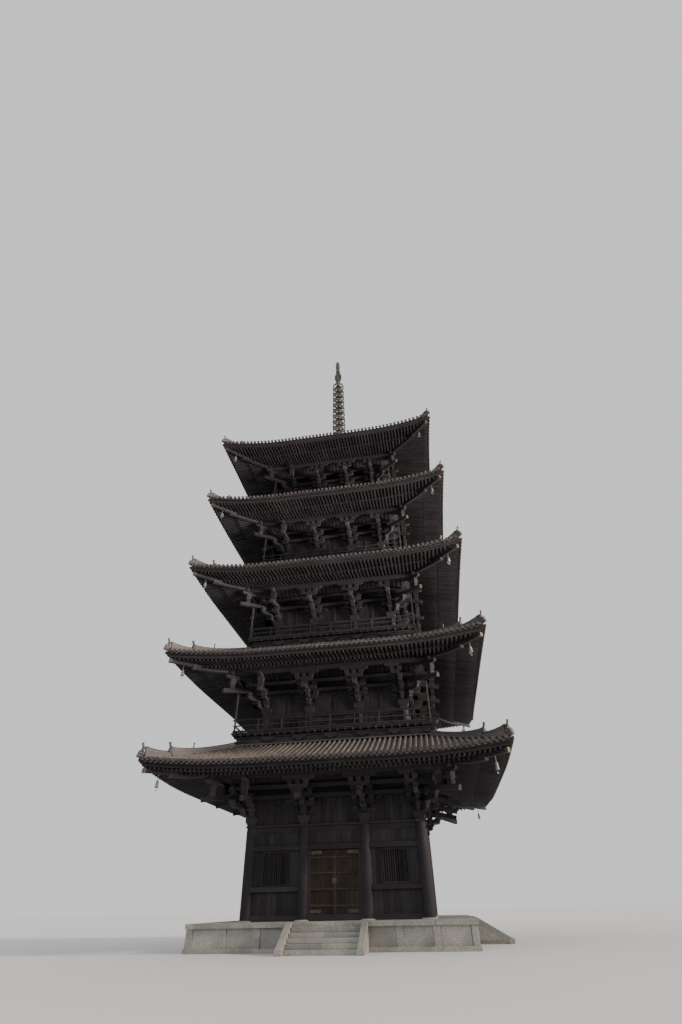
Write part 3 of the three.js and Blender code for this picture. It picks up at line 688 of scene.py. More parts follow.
# Timbers are dark and light in their grain, and silvered in a share of their patches
TIMBER = timber_material(
    "dark_timber", (0.0118, 0.0110, 0.0130), (0.0345, 0.0312, 0.0350), (0.063, 0.059, 0.063), 0.3)
DOOR_TIMBER = timber_material(
    "door_timber", (0.012, 0.009, 0.0075), (0.042, 0.031, 0.024), (0.07, 0.063, 0.054), 0.4)
# The ends are lighter and warmer than the rest of the timber: partly the real weathering of end grain, partly
# painted glints of a low warm sun.
END_GRAIN_AND_GLINT = timber_material(
    "weathered_ends_and_painted_glint", (0.016, 0.015, 0.015), (0.050, 0.044, 0.041), (0.080, 0.074, 0.070), 0.35)

# Tiles are deep, middling and pale from one to the next
ROW_TILE = tile_material("round_tile", (0.068, 0.057, 0.050), (0.128, 0.105, 0.092), (0.212, 0.174, 0.152))
# The pans are a darker copy of the round tiles' clay: painted shade in the hollows between the rows.
SHADED_PAN_TILE = tile_material("pan_tile_painted_shade", (0.031, 0.027, 0.025), (0.057, 0.049, 0.044), (0.099, 0.086, 0.077))
# The darkest copy of the clay, for the ridges, end tiles, corner tiles, eave discs, the first tile of each
# row and the seat course, is painted shade on parts the light doesn't reach.
SHADED_TILE = tile_material("ridge_tile_painted_shade", (0.026, 0.0218, 0.0205), (0.049, 0.041, 0.038), (0.09, 0.075, 0.069))
STONE = stone_material()
BRONZE = metal_material("bronze_patina", PATINA, 0.55, 3.2)
BELL_BRONZE = metal_material("bell_patina", BELL_PATINA, 0.3, 6.0)
FITTING = metal_material("aged_fitting", DARK_IRON, 0.7, 14.0)

# A piece's materials, and their numbers for the faces that don't have the first
TILES = [ROW_TILE, SHADED_PAN_TILE, SHADED_TILE]
IS_SHADED_PAN, IS_SHADED_TILE = 1, 2
WOODS = [TIMBER, END_GRAIN_AND_GLINT, FITTING]
IS_END_AND_GLINT, IS_METAL = 1, 2
DOOR_WOODS = [DOOR_TIMBER, FITTING]
IS_DOOR_METAL = 1


# Tiled roofs
TILE_LAP = 0.008
TILE_JOINT = 0.004
EAVE_OVERHANG = 0.07
ROW_SINK = 0.01
ROW_TAPER = (1.05, 0.93)
SHORTEST_ROW = 0.15
ROW_HIP_GAP = 0.08
ROW_OVERLAP = 0.08
EAVE_CORNER = 0.14
DISC_SIDES = 10
DISC_DROP = 0.012

# The disc's steps as shares of its radius and distances out of the eave
DISC_STEPS = ((1.0, 0.03), (1.0, 0.10), (0.78, 0.10), (0.68, 0.082))

# How far an eave pan's section hangs at its sides and middle, below and then above
PAN_LIP = (0.07, 0.105, 0.042, 0.056)
PAN_TAIL = (0.05, 0.075, 0.030, 0.040)
PAN_STATIONS = ((PAN_REACH, PAN_TAIL), (0.03, PAN_TAIL), (0.01, PAN_LIP), (-0.02, PAN_LIP))
BED_STEP_LOW, BED_STEP_HIGH = 0.012, 0.014
BED_OVERLAP = 0.1
COURSE_LIFT = 0.015
COURSE_HEIGHT = 0.065
COURSE_OUT, COURSE_BACK = 0.11, 0.06
RIDGE_SINK = 0.05
RIDGE_BASE_HEIGHT, RIDGE_COURSE_HEIGHT = 0.115, 0.05
RIDGE_BASE_EXTRA = 0.05
RIDGE_NARROWING = 0.035
RIDGE_STATIONS = 14
CAP_LENGTH = 0.36
CAP_RADIUS = 0.078
CORNER_TILE_RADIUS = 0.10
ROW_OUTLINE = np.array([(1.0, 0.0), (0.92, 0.62), (0.45, 1.0), (-0.45, 1.0), (-0.92, 0.62), (-1.0, 0.0)])


def round_row(shape, storey, along, reach):
    """One row of round tiles from the eave inward. Each tile's lower end stands over the one below."""
    count = max(1, round(reach / TILE_LENGTH))
    ends = np.linspace(-EAVE_OVERHANG, reach, count + 1)
    inward = np.stack([ends[:-1], ends[1:] - TILE_LAP], 1).ravel()
    sizes = np.tile(ROW_TAPER, count)
    outline = ROW_OUTLINE * (ROW_HALF, ROW_HEIGHT)
    height = storey.tile_top(inward) + storey.lift(along, inward) - PAN_DEPTH - ROW_SINK
    slope = storey.tile_slope(inward)
    length = np.sqrt(1 + slope ** 2)
    middle = np.stack([np.full(len(inward), along), inward - storey.eave_half, height], 1)
    normal = np.stack([np.zeros(len(inward)), -slope / length, 1 / length], 1)
    loft(shape, carried(middle, outline, sizes, np.array([-1.0, 0, 0]), normal), INWARD)
    tints = np.repeat(rng.random(count), 2)[:2 * count - 1]
    shape.tint[-WHOLE_LOFT] = np.repeat(tints, len(outline))
    # The first tile of each row, at the eave, takes the darkest tile material: painted shade on the row's
    # end.
    shape.slots[-WHOLE_LOFT][:2 * len(outline)] = IS_SHADED_TILE
    shape.mark_start(IS_SHADED_TILE)


def eave_disc(shape, storey, along):
    """The round end of a row, with a raised rim and a sunk face."""
    z = storey.tile_top(0) + float(storey.lift(along, 0.0)) - DISC_DROP
    outline = circle(1, DISC_SIDES)
    rings = []
    for share, out in DISC_STEPS:
        radius = DISC_RADIUS * share
        level = np.full(DISC_SIDES, -storey.eave_half - out)
        rings.append(np.column_stack([along + outline[:, 0] * radius, level, z + outline[:, 1] * radius]))
    loft(shape, rings, UPRIGHT)
    # The disc takes the darkest tile material: painted shade on the row's end.
    shape.use_slot(IS_SHADED_TILE, WHOLE_LOFT)


def eave_pan(shape, storey, along):
    """The hollow pan tile at the eave between two rows, with a lip that hangs in a curve."""
    half = TILE_PITCH / 2
    rings = []
    for inward, (side, middle, upper_side, upper_middle) in PAN_STATIONS:
        points = np.array([(-1, 0.0), (-0.6, -side), (0, -middle), (0.6, -side),
                           (1, 0.0), (0.5, -upper_side), (0, -upper_middle), (-0.5, -upper_side)])
        z = storey.tile_top(inward) + float(storey.lift(along, inward)) - PAN_DEPTH + points[:, 1]
        level = np.full(len(points), inward - storey.eave_half)
        rings.append(np.column_stack([along + points[:, 0] * half, level, z]))
    loft(shape, rings)
    # The eave pan takes the darker pan material, which is painted shade between the rows.
    shape.use_slot(IS_SHADED_PAN, WHOLE_LOFT)


def tile_bed(shape, storey):
    """The pan tiles as courses that step down towards the eave, with their bed under them."""
    start = PAN_REACH - 0.05
    count = round((storey.run - start) / TILE_LENGTH)
    ends = np.linspace(start, storey.run, count + 1)
    middle = storey.run * 0.62
    inner = storey.run + BED_OVERLAP
    under = ((0.10, 0.14), (0.5, 0.17), (1.6, 0.20), (middle, 0.24), (inner, 0.24), (inner, PAN_DEPTH))
    section = [(inward, storey.tile_top(inward) - thickness, True) for inward, thickness in under]
    for number in reversed(range(count)):
        upper = ends[number + 1] - TILE_JOINT
        lower = ends[number]
        section.append((upper, storey.tile_top(upper) - PAN_DEPTH - BED_STEP_LOW, True))
        section.append((lower, storey.tile_top(lower) - PAN_DEPTH + BED_STEP_HIGH, True))
    square_sweep(shape, storey, section, eased_stations(BED_STATIONS))
    # The courses take the darker pan material, which is painted shade between the rows.
    shape.use_slot(IS_SHADED_PAN, SQUARE_SIDES)


def seat_course(shape, storey):
    """The flat course that closes the tiles against the waist above them, tile by tile."""
    low = storey.tile_top(storey.run) + COURSE_LIFT
    high = low + COURSE_HEIGHT
    half = storey.seat_half + COURSE_OUT
    back = -storey.seat_half + COURSE_BACK
    count = round(2 * half / COURSE_TILE)
    width = 2 * half / count
    for number in range(count):
        x = -half + number * width
        box(shape, (x + TILE_JOINT, -half, low), (x + width - TILE_JOINT, back, high))
        # The course takes the darkest tile material, which is painted shade.
        shape.use_slot(IS_SHADED_TILE, ONE_GROUP)


def hip_point(storey, inward, above):
    """A point over the front right hip, at a distance inward from the eave and a height above the tiles."""
    out = storey.eave_half - np.asarray(inward, float)
    z = storey.tile_top(inward) + storey.corner_rise * storey.share(inward) + above
    return np.stack([out, -out, z + np.zeros_like(out)], -1)


def ridge_run(shape, storey, outer, inner, courses, end_lift, sweep_up):
    """A hip ridge: flat courses that narrow upwards under a row of round cap tiles, swept up at its end."""
    inward = outer + (inner - outer) * np.linspace(0, 1, RIDGE_STATIONS) ** 1.5
    rise = end_lift * ((inner - inward) / (inner - outer)) ** sweep_up
    low = -RIDGE_SINK
    for course in range(courses):
        is_base = course == 0
        width = RIDGE_WIDTH - RIDGE_NARROWING * course + (RIDGE_BASE_EXTRA if is_base else 0)
        height = RIDGE_BASE_HEIGHT if is_base else RIDGE_COURSE_HEIGHT
        foot = hip_point(storey, inward, low + rise * course / courses)
        head = hip_point(storey, inward, low + height - TILE_LAP + rise * (course + 1) / courses)
        side = np.array([1, 1, 0]) / ROOT_TWO * width / 2
        loft(shape, np.stack([foot + side, foot - side, head - side, head + side], 1), (-1, 1, 0))
        low += height
    caps = max(2, int((inner - outer) * ROOT_TWO / CAP_LENGTH))
    ends = np.linspace(outer, inner, caps + 1)
    top = low + end_lift * ((inner - ends) / (inner - outer)) ** sweep_up
    for number in range(caps):
        pair = np.array([ends[number], ends[number + 1] - TILE_JOINT])
        path = hip_point(storey, pair, top[number:number + 2] + 0.02)
        sweep(shape, path, circle(CAP_RADIUS, 8), sizes=[1.06, 0.94])


def ridge_end(shape, storey, inward, foot, size):
    """An upright end tile with side curls and a boss, under a round tile that points out and up."""
    base = hip_point(storey, inward, foot)
    diagonal = np.array([1, -1, 0]) / ROOT_TWO
    across = np.array([1, 1, 0]) / ROOT_TWO
    upward = np.array([0, 0, 1.0])
    arch = [(math.cos(angle), math.sin(angle)) for angle in np.linspace(0, math.pi, 7)]
    outline = [(-0.14, 0.0), (0.14, 0.0), (0.16, 0.05), (0.11, 0.12)]
    outline += [(0.09 * x, 0.20 + 0.09 * y) for x, y in arch]
    outline += [(-0.11, 0.12), (-0.16, 0.05)]
    plate(shape, np.array(outline) * size, 0.15 * size, base, across)
    for step, radius in ((0.085, 0.072), (0.105, 0.045)):
        centre = base + diagonal * step * size + upward * 0.17 * size
        rod(shape, centre - diagonal * 0.03, centre, radius * size, 8)
    for sign in (-1, 1):
        centre = base + across * 0.115 * sign * size + upward * 0.07 * size
        rod(shape, centre - diagonal * 0.07 * size, centre + diagonal * 0.095 * size, 0.045 * size, 8)
    start = base + upward * 0.26 * size - diagonal * 0.16 * size
    steps = ((0.0, 0.0), (0.11, 0.03), (0.18, 0.10), (0.22, 0.20), (0.24, 0.31))
    path = [start + (diagonal * out + upward * rise) * size for out, rise in steps]
    sweep(shape, path, circle(0.072 * size, 8), sizes=[1.1, 1, 0.95, 1.0, 1.2])


def corner_tiles(shape, storey):
    """Two round tiles, one over the other, that run down the hip and point out over the corner."""
    for drop, reach in ((0.14, -0.03), (0.0, 0.0)):
        inward = np.array([0.80, 0.45, 0.15, 0.0]) + reach
        path = hip_point(storey, inward, np.array([0.02, 0.07, 0.17, 0.25]) - drop)
        sweep(shape, path, circle(CORNER_TILE_RADIUS, 10), sizes=[0.9, 0.95, 1.0, 1.0])
        direction = (path[-1] - path[-2]) / np.linalg.norm(path[-1] - path[-2])
        rod(shape, path[-1] - direction * 0.03, path[-1] + direction * 0.03, 0.115, 12)
        rod(shape, path[-1], path[-1] + direction * 0.045, 0.07, 10)


def ridge_pin(shape, storey):
    """A short rod with a small jewel, which stands on the ridge."""
    foot = hip_point(storey, RIDGE_PIN, 0.16)
    rod(shape, foot, foot + (0, 0, 0.34), 0.04, 6)
    lathe(shape, [(0.02, 0.32), (0.05, 0.35), (0.05, 0.38), (0.0125, 0.43)], 8, foot)


def add_tiles(storey):
    side = Shape()
    rows = int((storey.eave_half - EAVE_CORNER) / TILE_PITCH)
    for number in range(-rows, rows + 1):
        along = number * TILE_PITCH
        reach = min(storey.run + ROW_OVERLAP, storey.eave_half - abs(along) - ROW_HIP_GAP)
        if reach > SHORTEST_ROW:
            round_row(side, storey, along, reach)
        eave_disc(side, storey, along)
        if number < rows:
            eave_pan(side, storey, along + TILE_PITCH / 2)
    if not storey.is_top:
        seat_course(side, storey)
    roof = four_sides(side)
    tile_bed(roof, storey)
    corner = Shape()
    inner = storey.run - 0.05 if storey.is_top else storey.run + 0.05
    ridge_run(corner, storey, RIDGE_BREAK + 0.05, inner, courses=3, end_lift=0.20, sweep_up=4)
    ridge_run(corner, storey, RIDGE_TIP + 0.10, RIDGE_BREAK + 0.10, courses=3, end_lift=0.30, sweep_up=2.0)
    ridge_end(corner, storey, RIDGE_BREAK, foot=0.16, size=0.95)
    ridge_end(corner, storey, RIDGE_TIP, foot=0.28, size=0.80)
    ridge_pin(corner, storey)
    corner_tiles(corner, storey)
    # The ridges, end tiles, pin and corner tiles take the darkest tile material: painted shade.
    corner.use_slot(IS_SHADED_TILE, len(corner.slots))
    roof.merge(four_sides(corner))
    roof.flare(storey)
    roof.piece(f"roof{storey.number}_tiling", TILES, [f"roof{storey.number}_tiles"], "roof_tile", sharp=40)


# Eaves
WALL_OVERLAP = 0.1
SHORTEST_RAFTER = 0.1
EAVE_STATIONS = 19
RAFTER_HIP_GAP = 0.14

# Boards as near and far distances inward, then their lower and upper levels over the rafters' undersides
UPPER_FASCIA = (0.20, 0.42, (0.115, 0.25))
TILE_BATTEN = (0.08, 0.50, (0.262, 0.365), (0.252, 0.33))
UPPER_SOFFIT = (0.40, 1.66, (0.126, 0.156))
LOWER_FASCIA = (1.48, 1.68, (0.15, 0.30))
LOWER_SOFFIT_START, LOWER_SOFFIT_LEVELS = 1.66, (0.15, 0.18)
UPPER_HIP, UPPER_HIP_CAP = (0.18, 0.21), (0.195, 0.225)
LOWER_HIP, LOWER_HIP_CAP = (0.23, 0.28), (0.25, 0.30)
UPPER_HIP_DROP = 0.10
LOWER_HIP_OUT = 0.25


def one_rafter(shape, storey, along, inward, z, size):
    path = np.stack([np.full(len(inward), along), inward - storey.eave_half, z + size[1] / 2], 1)
    sweep(shape, path, rectangle(*size), is_plumb=True)
    shape.mark_start(IS_END_AND_GLINT)


def rafters(storey):
    """One side's two rows of rafters, square to the eave, which end at the hip rafters."""
    side = Shape()
    count = int(storey.eave_half / RAFTER_PITCH)
    for number in range(-count, count):
        along = (number + 0.5) * RAFTER_PITCH
        hip = storey.eave_half - abs(along) - RAFTER_HIP_GAP
        inner = min(FLYING_INNER, hip)
        if inner > FLYING_TIP + SHORTEST_RAFTER:
            inward = np.array([FLYING_TIP, inner])
            z = storey.flying_under(inward) + storey.lift(along, inward)
            one_rafter(side, storey, along, inward, z, FLYING_SIZE)
        inner = min(storey.wall_line + WALL_OVERLAP, hip)
        if inner > BASE_TIP + SHORTEST_RAFTER:
            bend = [storey.purlin_line] if inner > storey.purlin_line else []
            inward = np.array([BASE_TIP, *bend, inner])
            z = storey.base_under(inward) + storey.base_lift(along, inward)
            one_rafter(side, storey, along, inward, z, BASE_SIZE)
    return side


def band(under, near, far, near_levels, far_levels=None, is_lifted=True):
    """A board's section between two distances inward, with its lower and upper levels over a sloping line."""
    low, high = near_levels
    far_low, far_high = far_levels or near_levels
    return [(near, under(near) + low, is_lifted), (far, under(far) + far_low, is_lifted),
            (far, under(far) + far_high, is_lifted), (near, under(near) + high, is_lifted)]


def eave_boards(shape, storey):
    """The beams and boards that run along the eaves, bent up with the corners as far in as the purlin."""
    base, line = storey.base_under, storey.purlin_line
    outer = band(base, LOWER_SOFFIT_START, line, LOWER_SOFFIT_LEVELS)
    inner = band(base, line, storey.wall_line + WALL_OVERLAP, LOWER_SOFFIT_LEVELS, is_lifted=False)
    sections = [band(storey.flying_under, *board) for board in (UPPER_FASCIA, TILE_BATTEN, UPPER_SOFFIT)]
    sections += [band(base, *LOWER_FASCIA), [outer[0], *inner, outer[-1]]]
    for section in sections:
        square_sweep(shape, storey, section, eased_stations(EAVE_STATIONS))


def hip_rafters(storey):
    """The two hip rafters of the front right corner, along the diagonal, each with a cap on its nose."""
    corner = Shape()

    def under(inward):
        return storey.flying_under(inward) + storey.corner_rise * storey.share(inward)

    def member(stations, outline, slot=0):
        path = [(0, -(storey.eave_half - inward) * ROOT_TWO, z) for inward, z in stations]
        sweep(corner, path, outline, is_plumb=True)
        corner.use_slot(slot, WHOLE_LOFT)

    upper = [(x, under(x) - UPPER_HIP_DROP) for x in (FLYING_TIP - 0.02, 0.9, FLYING_INNER + 0.2)]
    cap = [(x, under(x) - UPPER_HIP_DROP) for x in (FLYING_TIP - 0.04, FLYING_TIP + 0.08)]
    member(upper, chamfered(*UPPER_HIP))
    member(cap, rectangle(*UPPER_HIP_CAP), IS_METAL)
    tip = BASE_TIP - LOWER_HIP_OUT
    tip_z = under(BASE_TIP) - HIP_DEPTH + 0.14
    lower = [(tip, tip_z), (BASE_TIP + 0.5, under(BASE_TIP) - HIP_DEPTH + 0.20)]
    lower += [(x, storey.base_under(x) - 0.02) for x in (storey.purlin_line, storey.wall_line + 0.2)]
    member(lower, chamfered(*LOWER_HIP))
    member([(tip - 0.02, tip_z), (tip + 0.10, tip_z + 0.01)], rectangle(*LOWER_HIP_CAP), IS_END_AND_GLINT)
    turned = Shape()
    turned.merge(corner, TO_CORNER)
    return turned


# The bell's hollow section, up its outside and down its inside, and the plate that hangs under it
BELL_SECTION = [(0.130, -0.42), (0.105, -0.30), (0.092, -0.10), (0.060, -0.01), (0.020, 0.0),
                (0.010, -0.02), (0.050, -0.03), (0.080, -0.11), (0.094, -0.30), (0.116, -0.42)]
WIND_PLATE = [(-0.05, -0.64), (0, -0.61), (0.05, -0.64), (0.06, -0.55), (0, -0.48), (-0.06, -0.55)]
BELL_LINK = 0.32


def wind_bell(shape, x, y, hook_z, size):
    """A hollow bell on a link, with a clapper and a flat plate that catches the wind."""
    top = hook_z - BELL_LINK * size
    centre = (x, y, top)
    turned_ring(shape, [(radius * size, z * size) for radius, z in BELL_SECTION], 12, centre)
    lathe(shape, [(0.018 * size, -0.03 * size), (0.024 * size, 0.0), (0.016 * size, 0.05 * size)], 6, centre)
    rod(shape, (x, y, top), (x, y, hook_z), 0.014 * size, 6)
    rod(shape, (x, y, top - 0.49 * size), (x, y, top - 0.02 * size), 0.007 * size, 5)
    lathe(shape, [(0.012, -0.36), (0.035, -0.33), (0.035, -0.30), (0.012, -0.27)], 8, centre)
    plate(shape, np.array(WIND_PLATE) * size, 0.012 * size, centre)


def add_eaves(storey):
    eaves = four_sides(rafters(storey))
    eave_boards(eaves, storey)
    eaves.merge(four_sides(hip_rafters(storey)))
    eaves.flare(storey)
    nodes = [f"roof{storey.number}_eaves"]
    eaves.piece(f"roof{storey.number}_rafters", WOODS, nodes, "timber")
    bells = Shape()
    out = storey.eave_half - BELL_INSET
    rise = storey.corner_rise * float(storey.share(BELL_INSET))
    wind_bell(bells, out, -out, storey.flying_under(BELL_INSET) + rise - 0.22, BELL_SIZE)
    bells.flare(storey)
    four_sides(bells).piece(f"roof{storey.number}_wind_bells", [BELL_BRONZE], nodes, "bronze")


# Brackets
BLOCK_STEPS = ((0.68, 0.0), (0.78, 0.18), (1.0, 0.45), (1.0, 1.0))
STEP_BLOCK, TAIL_BLOCK, ARM_BLOCK, PURLIN_BLOCK = 0.34, 0.32, 0.30, 0.28
TAIL_BLOCK_HEIGHT = 0.20
TAIL_SIZE = (0.21, 0.26)
TAIL_TOP = 0.125
INSIDE_WALL = 0.1
PAST_BLOCK = 0.08
BLOCK_FROM_END = 0.14
BLOCK_SINK = 0.02
PURLIN_ARM_HALF, PURLIN_ARM_SIZE, PURLIN_ARM_LIFT = 0.56, (0.18, 0.22), 0.17
PURLIN_BLOCK_LINE = 0.44
BEARER_HALF, BEARER_WIDTH, BEARER_HEIGHT, BEARER_DROP = 0.90, 0.16, 0.21, 0.20
DIAGONAL_BLOCK = 0.36

# The crossing arms as the step they stand on, their tier and half their length
CROSSING_ARMS = ((0, 0, 0.66), (0, 1, 0.98), (1, 1, 0.62), (2, 2, 0.62))


def bearing_block(shape, x, y, z, width, height):
    """A block with a hollowed lower half, as every bracket tier has under its arms."""
    rings = []
    for share, level in BLOCK_STEPS:
        outline = rectangle(width * share, width * share)
        rings.append(np.column_stack([outline, np.full(4, z + height * level)]) + (x, y, 0))
    loft(shape, rings)


def arm(shape, origin, start, end, across, width=ARM_WIDTH, height=ARM_HEIGHT, round_start=True):
    """A bracket arm whose underside curves up to its ends. origin is the middle of its underside's line."""
    bend = min(0.26, (end - start) / 3)
    curve = [(bend, 0.0), (bend * 0.45, 0.12), (bend * 0.1, 0.32), (0.0, 0.55)]
    outline = [(end - back, height * rise) for back, rise in curve] + [(end, height), (start, height)]
    if round_start:
        outline += [(start + back, height * rise) for back, rise in reversed(curve)]
    else:
        outline += [(start, 0)]
    plate(shape, outline, width, origin, across)


def bracket_set(storey, reach_scale=1.0, transverse=True, is_half=False):
    """A bracket set with its column at the origin. reach_scale stretches it outward along a diagonal.

    A half set, for a corner, has its crossing arms on the left only.
    """
    made = Shape()
    steps = [out * reach_scale for out in (0.0, *STEP_OUT)]
    signs = (-1, 0) if is_half else (-1, 0, 1)
    tiers = [BLOCK_TOP + TIER * tier for tier in range(3)]
    block_height = TIER - ARM_HEIGHT
    for tier, reach in enumerate(steps[1:]):
        arm(made, (0, 0, tiers[tier]), -INSIDE_WALL, reach + PAST_BLOCK, OUTWARD, round_start=False)
        bearing_block(made, 0, -reach, tiers[tier] + ARM_HEIGHT, STEP_BLOCK, block_height)
    tail_out = TAIL_OUT * reach_scale
    purlin_out = PURLIN_OUT * reach_scale
    slope = TAIL_SLOPE / reach_scale
    nose_z = TAIL_UNDERSIDE + TAIL_SIZE[1] / 2
    tail = [(0, -tail_out, nose_z), (0, INSIDE_WALL, nose_z + slope * (tail_out + INSIDE_WALL))]
    sweep(made, tail, chamfered(*TAIL_SIZE))
    made.mark_start(IS_END_AND_GLINT)
    tail_top = nose_z + slope * (tail_out - purlin_out) + TAIL_TOP
    foot = storey.purlin_foot() - storey.wall_top
    bearing_block(made, 0, -purlin_out, tail_top - BLOCK_SINK, TAIL_BLOCK, TAIL_BLOCK_HEIGHT)
    arm_z = tail_top + PURLIN_ARM_LIFT
    bearer_z = foot - BEARER_DROP
    if transverse:
        for step, tier, half in CROSSING_ARMS:
            out, z = steps[step], tiers[tier]
            arm(made, (0, -out, z), -half, half * max(signs), ACROSS)
            for sign in signs:
                x = sign * (half - BLOCK_FROM_END)
                bearing_block(made, x, -out, z + ARM_HEIGHT, ARM_BLOCK, block_height)
        half = PURLIN_ARM_HALF
        arm(made, (0, -purlin_out, arm_z), -half, half * max(signs), ACROSS, *PURLIN_ARM_SIZE)
        for sign in signs:
            height = bearer_z - arm_z - 0.20
            bearing_block(made, sign * PURLIN_BLOCK_LINE, -purlin_out, arm_z + 0.21, PURLIN_BLOCK, height)
        half = BEARER_HALF
        arm(made, (0, -purlin_out, bearer_z), -half, half * max(signs), ACROSS, BEARER_WIDTH, BEARER_HEIGHT)
    else:
        bearing_block(made, 0, -purlin_out, arm_z, DIAGONAL_BLOCK, bearer_z - arm_z)
        arm(made, (0, 0, bearer_z), purlin_out - 0.6, purlin_out + 0.5, OUTWARD, 0.18, BEARER_HEIGHT)
    return made


def ring_beam(shape, half, low, high, depth, overrun=0.0):
    """A squared beam along the front, which crosses the next sides' beams at the corners."""
    front_beam(shape, around(0, half + overrun), half, (depth / 2, depth / 2), (low, high))
    if overrun:
        shape.use_slot(IS_END_AND_GLINT, BOTH_ENDS)


def ceiling(shape, storey):
    """The flat ceiling over the first step and the sloping one beyond it, each with close ribs."""
    body, foot = storey.body_half, storey.wall_top
    low, high = foot + BLOCK_TOP + TIER * 3.7, storey.purlin_foot() + 0.10
    near, far, edge = body + 0.1, body + STEP_OUT[1], body + PURLIN_OUT - 0.1
    bands = ((near, far, low), (far, edge, high))
    for inner, outer, z_outer in bands:
        board = np.array([(-outer, -outer, z_outer), (outer, -outer, z_outer),
                          (inner, -inner, low), (-inner, -inner, low)])
        loft(shape, [board + (0, 0, 0.05), board + (0, 0, 0.07)])
    count = int(2 * far / RIB_PITCH)
    for number in range(count + 1):
        along = (number - count / 2) * RIB_PITCH
        for inner, outer, z_outer in bands:
            start = max(inner, abs(along) + 0.05)
            if start < outer - 0.1:
                z_start = low + (z_outer - low) * (start - inner) / (outer - inner)
                path = [(along, -start, z_start + 0.035), (along, -outer, z_outer + 0.035)]
                sweep(shape, path, rectangle(*RIB_SIZE), is_plumb=True)


def add_brackets(storey):
    body, foot, bay = storey.body_half, storey.wall_top, storey.bay
    top = float(storey.base_under(storey.wall_line))
    side, crossing, corner = Shape(), Shape(), Shape()
    straight = bracket_set(storey)
    for along in (-bay, bay):
        side.merge(straight, moved(along, -body, foot))
        bearing_block(side, along, -body, foot, 0.60, BLOCK_TOP)
    side.merge(bracket_set(storey, is_half=True), moved(body, -body, foot))
    side.merge(bracket_set(storey, transverse=False), moved(-body, -body, foot))
    strut = foot + BLOCK_TOP + TIER + ARM_HEIGHT
    for line in (0.0, (bay + body) / 2, -(bay + body) / 2):
        front_beam(side, around(line, 0.10), body, (0.09, 0.09), (foot, strut), 0.02)
        bearing_block(side, line, -body, strut, 0.30, TIER - ARM_HEIGHT)
    boards = int(2 * body / BRACKET_BOARD)
    width = 2 * body / boards
    for number in range(boards):
        x = -body + number * width
        low = (x + 0.004, -body - 0.045, foot + 0.01)
        high = (x + width - 0.004, -body + 0.03, top + 0.1)
        box(side, low, high, UPRIGHT)
    ceiling(side, storey)
    purlin_foot = storey.purlin_foot()
    third = foot + BLOCK_TOP + 2 * TIER
    fourth = third + TIER
    for low in (third, fourth):
        ring_beam(crossing, body, low, low + BEARER_HEIGHT, 0.18)
    ring_beam(crossing, body, fourth + TIER, top + 0.10, 0.22)
    for out, low in zip(STEP_OUT, (third, fourth)):
        ring_beam(crossing, body + out, low, low + BEARER_HEIGHT, 0.17, overrun=0.30)
    ring_beam(crossing, body + PURLIN_OUT, purlin_foot, purlin_foot + PURLIN_HEIGHT, 0.20, overrun=0.36)
    diagonal = bracket_set(storey, ROOT_TWO, transverse=False)
    corner.merge(diagonal, TO_CORNER @ moved(0, -body * ROOT_TWO, foot))
    bearing_block(corner, body, -body, foot, 0.64, BLOCK_TOP)
    whole = four_sides(side)
    whole.merge(four_sides(crossing, drop=CROSSING_DROP))
    whole.merge(four_sides(corner))
    whole.piece(f"storey{storey.number}_bracketing", WOODS, [f"storey{storey.number}_brackets"], "timber")


# Walls
COLUMN_SIDES = 20
FRAME_WIDTH = 0.09
FRAME_DEPTHS = (0.045, 0.10)
BAR_PITCH = 0.12
BAR_HALF = 0.045
BAR_OUTLINE = [(0.0, -BAR_HALF), (BAR_HALF, 0.0), (0.0, BAR_HALF), (-BAR_HALF, 0.0)]
WALL_BOARD = 0.27
BOARD_JOINT = 0.003
BOARD_STEP = 0.006
NARROWEST_PANEL = 0.05
TIE_HEIGHT = 0.26
TIE_BACK = 0.02
TIE_CUT = 0.02
HEAD_PLATE = 0.11
CORNER_COLUMN_OUT = 0.05


def opening_sizes(storey):
    """Half the door's and the windows' widths, and the levels of door sill, heads and window sills."""
    height = storey.wall_top - storey.floor_z
    clear = FIRST_COLUMN_RADIUS if storey.is_first else UPPER_COLUMN_CLEAR
    door_half = storey.bay - clear - DOOR_CLEAR
    window_half = min(WINDOW_HALF, (storey.body_half - storey.bay) / 2 - clear - WINDOW_CLEAR)
    top = OPENING_TOP if storey.is_first else UPPER_OPENING_TOP
    sill = WINDOW_SILL if storey.is_first else UPPER_WINDOW_SILL
    levels = [storey.floor_z + share * height for share in (DOOR_SILL, top, sill)]
    return door_half, window_half, levels


def column(shape, x, y, low, high, radius):
    """A round column, drawn in a little towards its head."""
    profile = [(radius, low), (radius, low + (high - low) * 0.55), (radius * 0.97, high - 0.16),
               (radius * 0.92, high - 0.05), (radius * 0.84, high)]
    lathe(shape, profile, COLUMN_SIDES, (x, y, 0))


def barred_window(shape, middle, half, low, high, face):
    """A frame round two rows of upright bars, which are squares set corner outwards."""
    out, back = FRAME_DEPTHS
    for x in (middle - half, middle + half - FRAME_WIDTH):
        front_beam(shape, (x, x + FRAME_WIDTH), face, FRAME_DEPTHS, (low, high))
    for levels in ((low - 0.002, low + FRAME_WIDTH), (high - FRAME_WIDTH, high + 0.002)):
        front_beam(shape, around(middle, half), face, (out - 0.004, back), levels)
    inner = half - FRAME_WIDTH
    count = max(5, round(2 * inner / BAR_PITCH))
    for number in range(count):
        x = middle - inner + (number + 0.5) * 2 * inner / count
        for across, y in ((0.0, 0.02), (inner / count, 0.115)):
            foot = (x + across, -face + y, low + FRAME_WIDTH - 0.01)
            head = (x + across, -face + y, high - FRAME_WIDTH + 0.01)
            sweep(shape, [foot, head], BAR_OUTLINE, up=INWARD)


